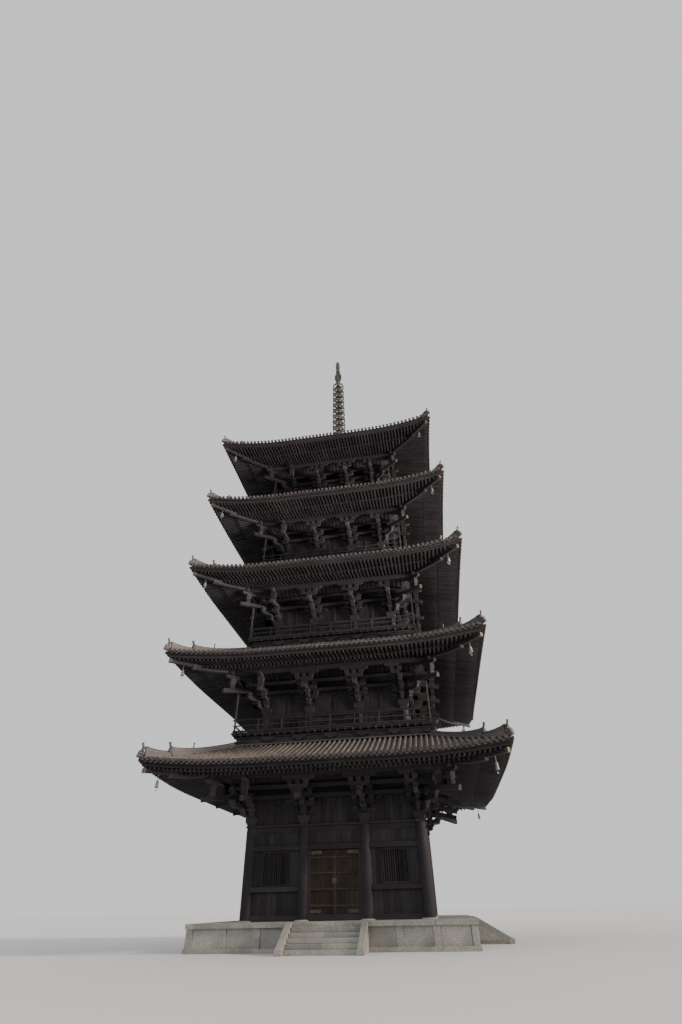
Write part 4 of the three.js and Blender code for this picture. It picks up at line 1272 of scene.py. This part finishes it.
def board_panel(shape, ends, levels, face):
    """Upright wall boards with open joints over a thin backing."""
    (left, right), (low, high) = sorted(ends), levels
    if min(right - left, high - low) < NARROWEST_PANEL:
        return
    count = max(1, round((right - left) / WALL_BOARD))
    width = (right - left) / count
    for number in range(count):
        x = left + number * width
        front = -face - BOARD_STEP * (number % 2)
        box(shape, (x + BOARD_JOINT, front, low), (x + width - BOARD_JOINT, -face + 0.045, high), UPRIGHT)
    box(shape, (left, -face + 0.04, low), (right, -face + 0.07, high), UPRIGHT)


def plank_doors(storey, metal):
    """Two leaves of upright planks with ledges, rows of round-headed studs, metal straps and a lock."""
    door_half, _, (low, high, _) = opening_sizes(storey)
    made, stud = Shape(), Shape()
    face = storey.body_half + 0.045
    size = 1.0 if storey.is_first else 0.55
    planks = 5 if storey.is_first else 4
    ledges = 4 if storey.is_first else 2
    edge = door_half - 0.004
    width = edge / planks
    studs = planks * 2
    ledge = 0.075 * size
    strap = 0.16 * size
    lock = 0.11 * size
    lathe(stud, [(0.035 * size, 0.0), (0.033 * size, 0.014 * size), (0.018 * size, 0.028 * size)], 8)
    for sign in (-1, 1):
        for number in range(planks):
            ends = around(sign * (number + 0.5) * width, width / 2 - 0.004)
            front_beam(made, ends, face, (0, 0.06), (low + 0.01, high - 0.01), 0.006)
        for number in range(ledges):
            z = low + (number + 0.5) * (high - low) / ledges
            front_beam(made, (sign * 0.02, sign * edge), face, (0.03, 0.01), around(z, ledge), 0.01)
            for place in range(studs):
                x = sign * (place + 0.5) * edge / studs
                made.merge(stud, facing_front(x, -face - 0.03, z))
                made.use_slot(metal, ONE_GROUP)
        for z in (low + 0.04, high - 0.04 - strap):
            ends = (sign * edge * 0.55, sign * edge * 0.99)
            front_beam(made, ends, face, (0.012, 0.02), (z, z + strap), 0.006)
            made.use_slot(metal, WHOLE_LOFT)
    front_beam(made, around(0, 0.06 * size), face, (0.045, 0.01), (low + 0.02, high - 0.02), 0.012)
    middle = (low + high) / 2
    box(made, (-lock, -face - 0.058, middle - lock), (lock, -face - 0.03, middle + lock))
    made.use_slot(metal, ONE_GROUP)
    return made


def wall_side(storey):
    """One side's panels, windows and door frame, and its tie beams, which cross the next sides' ones."""
    body, floor, top, bay = storey.body_half, storey.floor_z, storey.wall_top, storey.bay
    side, ties, boss = Shape(), Shape(), Shape()
    door_half, window_half, (sill, head, window_low) = opening_sizes(storey)
    face = body + storey.wall_face
    size = 1.0 if storey.is_first else 0.5
    tie = TIE_HEIGHT * size
    proud = 0.20 if storey.is_first else 0.17
    depths = (proud, TIE_BACK)
    end = body + 0.20
    for levels in ((floor, sill - 0.02), (head, head + tie)):
        front_beam(ties, around(0, end), body, depths, levels, TIE_CUT)
    if storey.is_first:
        front_beam(ties, around(0, end - 0.10), body, (0.10, 0.10), (top - 0.12 - tie, top - HEAD_PLATE))
    front_beam(ties, around(0, end + 0.08), body, (0.21, 0.21), (top - HEAD_PLATE, top))
    profile = [(0.075 * size + 0.01, 0.0), (0.07 * size + 0.01, 0.02), (0.03 * size, 0.045), (0.01, 0.05)]
    lathe(boss, profile, 10)
    for z in (head + tie / 2, (floor + sill - 0.02) / 2):
        for line in (-bay, bay, -body, body):
            ties.merge(boss, facing_front(line, -body - proud, z))
            ties.use_slot(IS_METAL, ONE_GROUP)
    board_panel(side, (-body, body), (head + tie, top - HEAD_PLATE), face)
    near, far = around((bay + body) / 2, window_half)
    for sign in (-1, 1):
        levels = (window_low - tie * 0.9, window_low - 0.005)
        front_beam(ties, (sign * bay, sign * end), body, depths, levels, TIE_CUT)
        board_panel(side, (sign * far, sign * body), (window_low, head), face)
        board_panel(side, (sign * bay, sign * near), (window_low, head), face)
        board_panel(side, (sign * bay, sign * body), (floor, window_low), face)
        barred_window(side, sign * (bay + body) / 2, window_half, window_low, head, face)
        jamb = (sign * door_half, sign * (door_half + 0.15 * size + 0.03))
        front_beam(side, jamb, face, (0.04, 0.09), (sill - 0.02, head), 0.012)
        board_panel(side, (sign * (door_half + 0.14 * size), sign * bay), (sill, head), face - 0.01)
    step = door_half + 0.1
    beam(side, (-step, -face - 0.06, sill - 0.06), (step, -body + 0.045, sill), 0.01)
    return side, ties


def add_walls(storey):
    side, ties = wall_side(storey)
    line = storey.body_half if storey.is_first else storey.body_half + CORNER_COLUMN_OUT
    for along in (-storey.bay, storey.bay, line):
        column(side, along, -line, storey.floor_z, storey.wall_top - 0.10, storey.column_radius)
    if not storey.is_first:
        side.merge(plank_doors(storey, IS_METAL))
    whole = four_sides(side)
    whole.merge(four_sides(ties, drop=CROSSING_DROP))
    name = f"storey{storey.number}_wall"
    nodes = [f"{side_name}_wall" for side_name in SIDE_NAMES] if storey.is_first else [name + "s"]
    whole.piece(name + "ing", WOODS, nodes, "timber")


# Balconies
DECK_BOARD = 0.28
DECK_BOARD_HEIGHT = 0.065
DECK_OUT = 1.2
JOIST_PITCH = 0.46
WAIST_SETS = 7
RAIL_BAYS = 8
RAIL_RADIUS = 0.048
CUP = [(0.035, 0.45), (0.055, 0.49), (0.03, 0.56), (0.03, 0.66), (0.055, 0.72)]

# The squared rails' lower and upper levels, overrun at the corners and half depth
SQUARED_RAILS = ((0.40, 0.46, 0.10, 0.05), (0.06, 0.16, 0.12, 0.055))


def add_balcony(storey, below):
    """The decking with its joists and edge beams, over the waist that stands on the roof below."""
    body, floor, foot = storey.body_half, storey.floor_z, below.seat_z
    half = body + BALCONY_OUT
    waist = body + WAIST_OUT
    underside = floor - BALCONY_THICKNESS
    side, crossing, deck = Shape(), Shape(), Shape()
    count = round(2 * half / DECK_BOARD)
    width = 2 * half / count
    for number in range(count):
        x = -half + number * width
        inner = min(max(body - 0.1, abs(x + width / 2) + width / 2 - 0.02), half - 0.05)
        low = (x + BOARD_JOINT, -half, floor - DECK_BOARD_HEIGHT)
        box(side, low, (x + width - BOARD_JOINT, -inner, floor), INWARD)
    front_beam(crossing, around(0, half - 0.05), half, (-0.06, 0.20), (floor - 0.15, floor - 0.07))
    front_beam(crossing, around(0, waist + 0.10), waist, (0.07, 0.06), (foot - 0.02, foot + 0.13))
    front_beam(crossing, around(0, waist + 0.04), waist, (0.04, 0.08), (floor - 0.30, underside + 0.01))
    board_panel(side, around(0, waist - 0.02), (foot + 0.10, floor - 0.28), waist - 0.03)
    joists = int(2 * half / JOIST_PITCH)
    for number in range(joists + 1):
        along = (number - joists / 2) * JOIST_PITCH
        if abs(along) < half - 0.15:
            low = (along - 0.05, -half + 0.02, underside)
            beam(side, low, (along + 0.05, -waist + 0.3, floor - 0.075))
            side.mark_start(IS_END_AND_GLINT)
    last = WAIST_SETS - 1
    for number in range(WAIST_SETS):
        along = (number - last / 2) * 2 * (waist - 0.12) / last
        levels = (foot + 0.12, floor - 0.60)
        front_beam(side, around(along, 0.075), waist, (0.03, 0.06), levels, 0.01)
        bearing_block(side, along, -waist - 0.02, floor - 0.605, 0.28, 0.13)
        if 0 < number < last:
            arm(side, (along, -waist - 0.02, floor - 0.48), -0.40, 0.40, ACROSS, 0.13, 0.19)
    reach = body + DECK_OUT
    box(deck, (-reach, -reach, floor - 0.19), (reach, reach, floor - 0.012), ACROSS)
    deck.merge(four_sides(side))
    deck.merge(four_sides(crossing, drop=0.005))
    deck.piece(f"balcony{storey.number}_decking", WOODS, [f"balcony{storey.number}_floor"], "timber")


def round_rail(shape, half, z, radius):
    """A round rail along the front, whose ends run a little past the corners into metal caps."""
    end = half + RAIL_OVERRUN - 0.02
    rod(shape, (-end, -half, z), (end, -half, z), radius)
    for sign in (-1, 1):
        rod(shape, (sign * (end - 0.07), -half, z), (sign * (end + 0.015), -half, z), radius * 1.2)
        shape.use_slot(IS_METAL, WHOLE_LOFT)


def add_railing(storey):
    """A round rail over two squared ones, on posts, cups and feet, with tall props at the corners."""
    floor = storey.floor_z
    half = storey.body_half + RAIL_OUT
    crossing, side = Shape(), Shape()
    round_rail(crossing, half, floor + RAIL_HEIGHT - 0.05, RAIL_RADIUS)
    for low, high, overrun, depth in SQUARED_RAILS:
        ends = around(0, half + overrun)
        front_beam(crossing, ends, half, (depth, depth), (floor + low, floor + high), 0.01)
        crossing.use_slot(IS_END_AND_GLINT, BOTH_ENDS)
    pitch = 2 * half / RAIL_BAYS
    for number in range(RAIL_BAYS):
        along = -half + number * pitch
        if number and number % 2 == 0:
            levels = (floor, floor + RAIL_HEIGHT - 0.09)
            front_beam(side, around(along, 0.05), half, (0.045, 0.045), levels, 0.01)
        elif number:
            levels = (floor + 0.15, floor + 0.41)
            front_beam(side, around(along, 0.035), half, (0.035, 0.035), levels, 0.008)
            lathe(side, CUP, 6, (along, -half, floor))
        for x in (along + 0.25 * pitch, along + 0.75 * pitch):
            levels = (floor - 0.005, floor + 0.065)
            front_beam(side, around(x, 0.03), half, (0.045, 0.045), levels, 0.008)
    prop_top = storey.wall_top + TAIL_UNDERSIDE + 0.05
    front_beam(side, around(half, 0.05), half, (0.05, 0.05), (floor, prop_top), 0.014)
    # The prop takes the lighter end material along its whole length: partly weathered timber, partly a
    # painted glint where the sun catches it.
    side.use_slot(IS_END_AND_GLINT, WHOLE_LOFT)
    rails = four_sides(side)
    rails.merge(four_sides(crossing, drop=0.012))
    rails.piece(f"balcony{storey.number}_rails", WOODS, [f"balcony{storey.number}_railing"], "timber")


# Podium
STONE_JOINT = 0.005
FLAG_COUNT = 15
FLAG_JOINT = 0.004
PODIUM_POSTS = 8
POST_HALF = 0.16
POST_LEVELS = (0.165, PODIUM_HEIGHT - 0.195)


def stone_row(shape, low, high, pitch, cut=0.012):
    """Stones end to end along X between two corners of a long block."""
    low, high = np.asarray(low, float), np.asarray(high, float)
    count = max(1, round((high[0] - low[0]) / pitch))
    width = (high[0] - low[0]) / count
    for number in range(count):
        x = low[0] + number * width
        beam(shape, (x + STONE_JOINT, *low[1:]), (x + width - STONE_JOINT, *high[1:]), cut)


def flag(shape, x, y, size, low, high):
    """A paving flag with its upper edges eased."""
    rings = []
    for inset, z in ((0.0, low), (0.0, high - 0.005), (0.006, high)):
        x0, y0, x1, y1 = x + inset, y + inset, x + size - inset, y + size - inset
        rings.append([(x0, y0, z), (x1, y0, z), (x1, y1, z), (x0, y1, z)])
    loft(shape, rings)


def add_podium():
    half, height = PODIUM_HALF, PODIUM_HEIGHT
    side, podium, bases = Shape(), Shape(), Shape()
    stone_row(side, (-half + 0.5, -half, height - 0.20), (half, -half + 0.5, height), 1.85)
    stone_row(side, (-half + 0.35, -half, 0.0), (half, -half + 0.35, 0.17), 2.1)
    span = 2 * (half - 0.22) / PODIUM_POSTS
    for number in range(PODIUM_POSTS):
        x = -half + 0.22 + number * span
        front_beam(side, around(x, POST_HALF), half, (-0.06, 0.36), POST_LEVELS, 0.012)
        ends = (x + POST_HALF + STONE_JOINT, x + span - POST_HALF - STONE_JOINT)
        front_beam(side, ends, half, (-0.12, 0.36), POST_LEVELS, 0.006)
    core = half - 0.34
    box(podium, (-core, -core, 0.0), (core, core, height - 0.012))
    podium.merge(four_sides(side))
    inner = half - 0.505
    pitch = 2 * inner / FLAG_COUNT
    for row in range(FLAG_COUNT):
        for place in range(FLAG_COUNT):
            x, y = (-inner + number * pitch + FLAG_JOINT for number in (place, row))
            flag(podium, x, y, pitch - 2 * FLAG_JOINT, height - 0.03, height - 0.002 * rng.random())
    body = FIRST_BODY_HALF
    profile = [(0.43, height - 0.02), (0.43, height + 0.015), (0.37, height + 0.05), (0.33, height + 0.055)]
    for along in (-body * BAY_LINE, body * BAY_LINE, body):
        lathe(bases, profile, 24, (along, -body, 0))
    podium.merge(four_sides(bases))
    podium.piece("podium_masonry", [STONE], ["podium"], "stone")


def add_steps():
    flight = Shape()
    riser = PODIUM_HEIGHT / STEP_COUNT
    run = (STEP_COUNT - 1) * STEP_TREAD
    for step in range(STEP_COUNT - 1):
        out = PODIUM_HALF + run - step * STEP_TREAD
        low = step * riser
        back = -out + STEP_TREAD + (0.06 if step < STEP_COUNT - 2 else 0.0)
        high = (STEPS_WIDTH / 2, back, low + riser)
        stone_row(flight, (-STEPS_WIDTH / 2, -out, low), high, STEPS_WIDTH / (1 + step % 2), cut=0.014)
    top = riser * (STEP_COUNT - 2)
    fill = [(PODIUM_HALF, 0.0), (PODIUM_HALF + run - 0.1, 0.0),
            (PODIUM_HALF + STEP_TREAD - 0.1, top), (PODIUM_HALF, top)]
    plate(flight, fill, STEPS_WIDTH - 0.02, (0, 0, 0), OUTWARD)
    foot = PODIUM_HALF + run + CHEEK_WIDTH
    front = foot - 0.04
    cheek = [(PODIUM_HALF, 0.002), (front, 0.002), (front, riser), (foot - 0.1, riser * 1.25),
             (PODIUM_HALF + STEP_TREAD / 2, PODIUM_HEIGHT - 0.005), (PODIUM_HALF, PODIUM_HEIGHT - 0.005)]
    panel = [(PODIUM_HALF + 0.10, 0.15), (PODIUM_HALF + run - 0.25, 0.15),
             (PODIUM_HALF + 0.20, PODIUM_HEIGHT - 0.32), (PODIUM_HALF + 0.10, PODIUM_HEIGHT - 0.32)]
    for sign in (-1, 1):
        offset = sign * (STEPS_WIDTH + CHEEK_WIDTH) / 2
        plate(flight, cheek, CHEEK_WIDTH - 0.04, (offset, 0, 0), OUTWARD)
        plate(flight, panel, CHEEK_WIDTH, (offset, 0, 0), OUTWARD)
        beam(flight, (offset - 0.16, -foot, 0), (offset + 0.16, -PODIUM_HALF - run - 0.02, riser * 1.15))
    side_pieces(flight, "flight", "steps", [STONE], "stone")


# Spire
def add_basin():
    """A square casting with framed panels and roundels, under a stepped cornice."""
    made, side, roundel = Shape(), Shape(), Shape()
    z, half = SPIRE_FOOT, BASIN_HALF
    for levels in ((z, z + 0.10), (z + 0.56, z + 0.68)):
        front_beam(side, (-half, half - 0.10), half, (0, 0.10), levels, 0.012)
    for x in (-half, -0.05):
        front_beam(side, (x, x + 0.10), half, (-0.004, 0.10), (z + 0.09, z + 0.57), 0.012)
    lathe(roundel, [(0.13, 0.0), (0.13, 0.025), (0.105, 0.025), (0.10, 0.012)], 16)
    for x in (-half / 2, half / 2):
        side.merge(roundel, facing_front(x, -half + 0.04, z + 0.33))
    core = half - 0.04
    box(made, (-core, -core, z), (core, core, z + 0.66))
    for inset, low, high in ((0.03, 0.66, 0.71), (0.055, 0.70, 0.75), (0.08, 0.74, BASIN_HEIGHT)):
        rings = []
        for cut, level in ((0.008, low), (0.0, low + 0.008), (0.0, high - 0.008), (0.008, high)):
            width = 2 * (half + inset - cut)
            rings.append(np.column_stack([rectangle(width, width), np.full(4, z + level)]))
        loft(made, rings)
    made.merge(four_sides(side))
    made.piece("spire_basin_casting", [BRONZE], ["spire_dew_basin"], "bronze")


PETAL_ROOT = 0.20
PETAL_THICKNESS = 0.014


def petal(shape, angle, radius, low, height, width):
    """An upturned lotus petal, thin and curled out at its tip."""
    rows, columns = 7, 5
    grid = np.zeros((2, rows, columns, 3))
    for row in range(rows):
        v = row / (rows - 1)
        half = width * math.sin(math.pi * (0.16 + 0.76 * v)) ** 0.8 * (1 - 0.35 * v ** 4)
        for place in range(columns):
            u = place / (columns - 1) * 2 - 1
            out = PETAL_ROOT + (radius - PETAL_ROOT) * v ** 0.75 - 0.07 * u * u * (1 - v)
            z = low + height * v ** 1.35 + 0.02 * u * u
            for layer in range(2):
                grid[layer, row, place] = (half * u, -(out - PETAL_THICKNESS * layer), z + 0.010 * layer)

    def number(layer, corner):
        return (layer * rows + corner[0]) * columns + corner[1]

    faces = []
    for row in range(rows - 1):
        for place in range(columns - 1):
            quad = [(row, place), (row, place + 1), (row + 1, place + 1), (row + 1, place)]
            faces.append([number(0, corner) for corner in quad])
            faces.append([number(1, corner) for corner in reversed(quad)])
    rim = [(0, place) for place in range(columns)]
    rim += [(row, columns - 1) for row in range(1, rows)]
    rim += [(rows - 1, place) for place in reversed(range(columns - 1))]
    rim += [(row, 0) for row in reversed(range(1, rows - 1))]
    for here, ahead in zip(rim, rim[1:] + rim[:1]):
        faces.append([number(0, here), number(1, here), number(1, ahead), number(0, ahead)])
    made = Shape()
    made.add(grid.reshape(-1, 3), [np.array(faces)], UPRIGHT)
    shape.merge(made, np.array(Matrix.Rotation(angle, 4, "Z")))


def add_bowl():
    """An inverted bowl with a band, under a cup in two rows of lotus petals."""
    made = Shape()
    z = SPIRE_FOOT + BASIN_HEIGHT
    top = z + BOWL_HEIGHT
    dome = [(0.60 * math.cos(angle), z + 0.10 + 0.46 * math.sin(angle)) for angle in np.linspace(0, 1.25, 7)]
    lathe(made, [(0.62, z), (0.62, z + 0.05), (0.60, z + 0.06), *dome, (0.17, top), (0.15, top + 0.10)], 32)
    turned_ring(made, [(0.56, z + 0.20), (0.605, z + 0.20), (0.60, z + 0.25), (0.55, z + 0.25)], 32)
    cup = [(0.15, 0.02), (0.24, 0.08), (0.26, 0.14), (0.16, 0.20), (0.12, LOTUS_HEIGHT)]
    lathe(made, [(radius, top + level) for radius, level in cup], 24)
    for number in range(8):
        petal(made, number * math.pi / 4, LOTUS_RADIUS, top + 0.06, LOTUS_HEIGHT - 0.08, 0.21)
        petal(made, (number + 0.5) * math.pi / 4, LOTUS_RADIUS - 0.09, top + 0.12, LOTUS_HEIGHT - 0.12, 0.19)
    made.piece("spire_bowl_and_petals", [BRONZE], ["spire_bowl_and_lotus"], "bronze", sharp=50)


# A hoop's section as distances in from its rim and shares of half its height
HOOP = ((0.06, -1), (0, -1), (0.008, -0.6), (0.008, 0.6), (0, 1), (0.06, 1), (0.045, 0))


def add_rings():
    """The mast and its hoops, each with an inner hoop, a hub, and spokes. The long spokes hold bells."""
    made = Shape()
    lotus_top = SPIRE_FOOT + BASIN_HEIGHT + BOWL_HEIGHT + LOTUS_HEIGHT
    lathe(made, [(MAST_RADIUS, lotus_top - 0.1), (MAST_RADIUS * 0.9, MAST_TOP)], 16)
    half = RING_HEIGHT / 2
    for ring in range(RING_COUNT):
        share = ring / (RING_COUNT - 1)
        z = FIRST_RING[0] + share * (LAST_RING[0] - FIRST_RING[0])
        radius = FIRST_RING[1] + share * (LAST_RING[1] - FIRST_RING[1])
        inner = radius * INNER_HOOP
        within = inner - INNER_HOOP_THICKNESS
        low, high = around(z, SPOKE_HALF_HEIGHT)
        turned_ring(made, [(radius - inset, z + half * level) for inset, level in HOOP], 28)
        turned_ring(made, [(within, low), (inner, low), (inner, high), (within, high)], 20)
        lathe(made, [(hub_radius, z + level) for hub_radius, level in HUB], 16)
        for spoke in range(SPOKE_COUNT):
            is_long = spoke % 2 == 0
            bar = Shape()
            start = -radius + 0.03 if is_long else -inner
            beam(bar, (-SPOKE_HALF_WIDTH, start, low), (SPOKE_HALF_WIDTH, -0.13, high), 0.01)
            if is_long:
                y = -radius + 0.02
                rod(bar, (0, y, z - half - 0.06), (0, y, z - half + 0.03), 0.008, 5)
                lathe(bar, RING_BELL, 8, (0, y, z - half))
            made.merge(bar, turn(4 * spoke / SPOKE_COUNT))
    made.piece("spire_mast_and_hoops", [BRONZE], ["spire_mast_and_rings"], "bronze", sharp=40)


FLAME_TONGUES = 7


def flame_tongue(shape, path, widths, thickness):
    """A curling flat tongue on the plane y = 0. path holds (x, z) points."""
    path = np.asarray(path, float)
    tangent = np.gradient(path, axis=0)
    tangent = tangent / np.linalg.norm(tangent, axis=1, keepdims=True)
    across = np.stack([tangent[:, 1], -tangent[:, 0]], 1) * np.asarray(widths, float)[:, None] / 2
    depth = thickness / 2
    rings = []
    for right, left in zip(path + across, path - across):
        rings.append([(right[0], -depth, right[1]), (right[0], depth, right[1]),
                      (left[0], depth, left[1]), (left[0], -depth, left[1])])
    loft(shape, rings, UPRIGHT)


def add_flame():
    """Four pierced wings of curling tongues about a slender stem."""
    made, wing = Shape(), Shape()
    low, height = MAST_TOP, FLAME_TOP - MAST_TOP
    lathe(made, [(MAST_RADIUS * 0.9, low), (0.075, low + 0.3), (0.055, FLAME_TOP)], 12)
    steps = np.linspace(0, 1, 15)
    stem = [(0.07 + 0.24 * math.sin(math.pi * t) ** 0.8, low + 0.05 + (height - 0.1) * t) for t in steps]
    flame_tongue(wing, stem, 0.07 + 0.06 * np.sin(math.pi * steps), 0.05)
    plate(wing, [(0.03, low + 0.06)] + stem[1:-1] + [(0.03, FLAME_TOP - 0.06)], 0.024, (0, 0, 0))
    steps = np.linspace(0, 1, 9)
    for number in range(FLAME_TONGUES):
        t = 0.10 + 0.115 * number
        root_x, root_z = 0.06 + 0.20 * math.sin(math.pi * t), low + height * t
        size = 0.26 * math.sin(math.pi * (0.22 + 0.68 * t)) + 0.05
        curl = []
        for s in steps:
            x = min(root_x + size * (0.85 * s - 0.35 * s ** 3), FLAME_HALF - 0.012)
            curl.append((x, root_z + size * (0.2 * s + 1.15 * s ** 2)))
        flame_tongue(wing, curl, 0.095 * (1 - steps) ** 0.7 + 0.012, 0.045)
        inner = [(root_x - 0.04 - size * 0.27 * math.sin(2.6 * s), root_z + size * 0.75 * s) for s in steps]
        flame_tongue(wing, inner, 0.075 * (1 - steps) ** 0.6 + 0.012, 0.04)
    made.merge(four_sides(wing))
    made.piece("spire_flame_plates", [BRONZE], ["spire_flame"], "bronze", sharp=50)


def swelling(z, radius, height, start, end):
    """Points (radius, height) of a round bulge about a level, between two angles."""
    angles = np.linspace(start, end, 7)
    return [(radius * math.cos(angle), z + height * math.sin(angle)) for angle in angles]


def add_jewel():
    """A ball on a moulded foot, under a second foot and a jewel drawn up to a point."""
    made = Shape()
    z, height = FLAME_TOP, SPIRE_TIP - FLAME_TOP
    ball_z = z + height * 0.315
    ball = swelling(ball_z, JEWEL_RADIUS, JEWEL_RADIUS, -0.5, 0.5)
    drop = swelling(z + height * 0.74, JEWEL_RADIUS, 0.22, -0.6, 0.4)
    neck = JEWEL_NECK
    profile = [(neck, z), (neck * 1.12, z + 0.04), (neck * 1.12, z + 0.14), (neck * 0.95, z + 0.18), *ball,
               (neck, ball_z + 0.28), (neck * 1.15, ball_z + 0.34), (neck * 1.15, ball_z + 0.44),
               (neck, ball_z + 0.50), *drop, (0.19, SPIRE_TIP - 0.22), (0.13, SPIRE_TIP - 0.08),
               (0.06, SPIRE_TIP - 0.02), (0.004, SPIRE_TIP)]
    lathe(made, profile, 24)
    made.piece("spire_jewel_and_ball", [BRONZE], ["spire_jewel"], "bronze", sharp=50)


# Camera, floor and light
CAMERA_PLACE = (2.837, -18.447, 0.799)
CAMERA_YAW, CAMERA_PITCH, CAMERA_ROLL = -8.717, 38.315, -1.204
LENS, SENSOR_WIDTH = 17.61, 36
VIEW_END = 500
FLOOR_REACH, FLOOR_LEVEL = 160, -0.002
FLOOR_COLOUR = (0.64, 0.635, 0.625, 1)
SKY_COLOUR, SKY_STRENGTH = (0.90, 0.91, 0.93, 1), 0.95
PANEL_SPREAD = 40


def add_camera():
    yaw, pitch, roll = (math.radians(angle) for angle in (CAMERA_YAW, CAMERA_PITCH, CAMERA_ROLL))
    forward = Vector((math.sin(yaw) * math.cos(pitch), math.cos(yaw) * math.cos(pitch), math.sin(pitch)))
    level = Vector((math.cos(yaw), -math.sin(yaw), 0))
    upward = level.cross(forward)
    right = level * math.cos(roll) + upward * math.sin(roll)
    up = -level * math.sin(roll) + upward * math.cos(roll)
    camera = bpy.data.cameras.new("camera")
    camera.lens = LENS
    camera.sensor_width = SENSOR_WIDTH
    camera.clip_end = VIEW_END
    seat = bpy.data.objects.new("camera", camera)
    seat.matrix_world = Matrix.Translation(CAMERA_PLACE) @ Matrix((right, up, -forward)).transposed().to_4x4()
    bpy.context.scene.collection.objects.link(seat)
    bpy.context.scene.camera = seat


def add_floor():
    material, _, shader = new_material("floor")
    shader.inputs["Base Color"].default_value = FLOOR_COLOUR
    shader.inputs["Roughness"].default_value = 0.9
    mesh = bpy.data.meshes.new("floor")
    square = rectangle(2 * FLOOR_REACH, 2 * FLOOR_REACH)
    mesh.from_pydata([(x, y, FLOOR_LEVEL) for x, y in square], [], [(0, 1, 2, 3)])
    mesh.materials.append(material)
    floor = bpy.data.objects.new("floor", mesh)
    bpy.context.scene.collection.objects.link(floor)


def add_sun(name, azimuth, elevation, strength, colour, spread):
    """A soft sun. Its azimuth is seen from the building, from the front towards the right."""
    light = bpy.data.lights.new(name, "SUN")
    light.energy = strength
    light.color = colour
    light.angle = math.radians(spread)
    lamp = bpy.data.objects.new(name, light)
    azimuth, elevation = math.radians(azimuth), math.radians(elevation)
    flat = math.cos(elevation)
    toward = Vector((math.sin(azimuth) * flat, -math.cos(azimuth) * flat, math.sin(elevation)))
    lamp.rotation_euler = toward.to_track_quat("Z", "Y").to_euler()
    bpy.context.scene.collection.objects.link(lamp)


def add_panel(name, place, aim, size, power, colour):
    """A wide, low panel light, narrow in its beam, that reaches under the eaves and not over the floor."""
    light = bpy.data.lights.new(name, "AREA")
    light.shape = "RECTANGLE"
    light.size, light.size_y = size
    light.spread = math.radians(PANEL_SPREAD)
    light.energy = power
    light.color = colour
    panel = bpy.data.objects.new(name, light)
    panel.location = place
    panel.rotation_euler = (Vector(place) - Vector(aim)).to_track_quat("Z", "Y").to_euler()
    panel.visible_camera = False
    bpy.context.scene.collection.objects.link(panel)


def add_light():
    world = bpy.data.worlds.new("pale_sky")
    world.use_nodes = True
    background = world.node_tree.nodes["Background"]
    background.inputs["Color"].default_value = SKY_COLOUR
    background.inputs["Strength"].default_value = SKY_STRENGTH
    bpy.context.scene.world = world
    add_sun("key", azimuth=82, elevation=20, strength=3.4, colour=(1.0, 0.86, 0.72), spread=6)
    add_sun("fill", azimuth=-40, elevation=25, strength=0.6, colour=(0.90, 0.94, 1.0), spread=40)
    add_panel("side_panel", place=(30.0, -6.0, 3.0), aim=(4.0, 0.0, 11.0), size=(24.0, 5.0), power=3800,
              colour=(1.0, 0.88, 0.84))


add_camera()
storeys = [Storey(index) for index in range(len(EAVE_HEIGHTS))]
add_podium()
add_steps()
side_pieces(plank_doors(storeys[0], IS_DOOR_METAL), "door_leaves", "doors", DOOR_WOODS, "door_timber")
for storey in storeys:
    if not storey.is_first:
        add_balcony(storey, storeys[storey.number - 2])
        add_railing(storey)
    add_walls(storey)
    add_brackets(storey)
    add_eaves(storey)
    add_tiles(storey)
add_basin()
add_bowl()
add_rings()
add_flame()
add_jewel()
add_floor()
add_light()
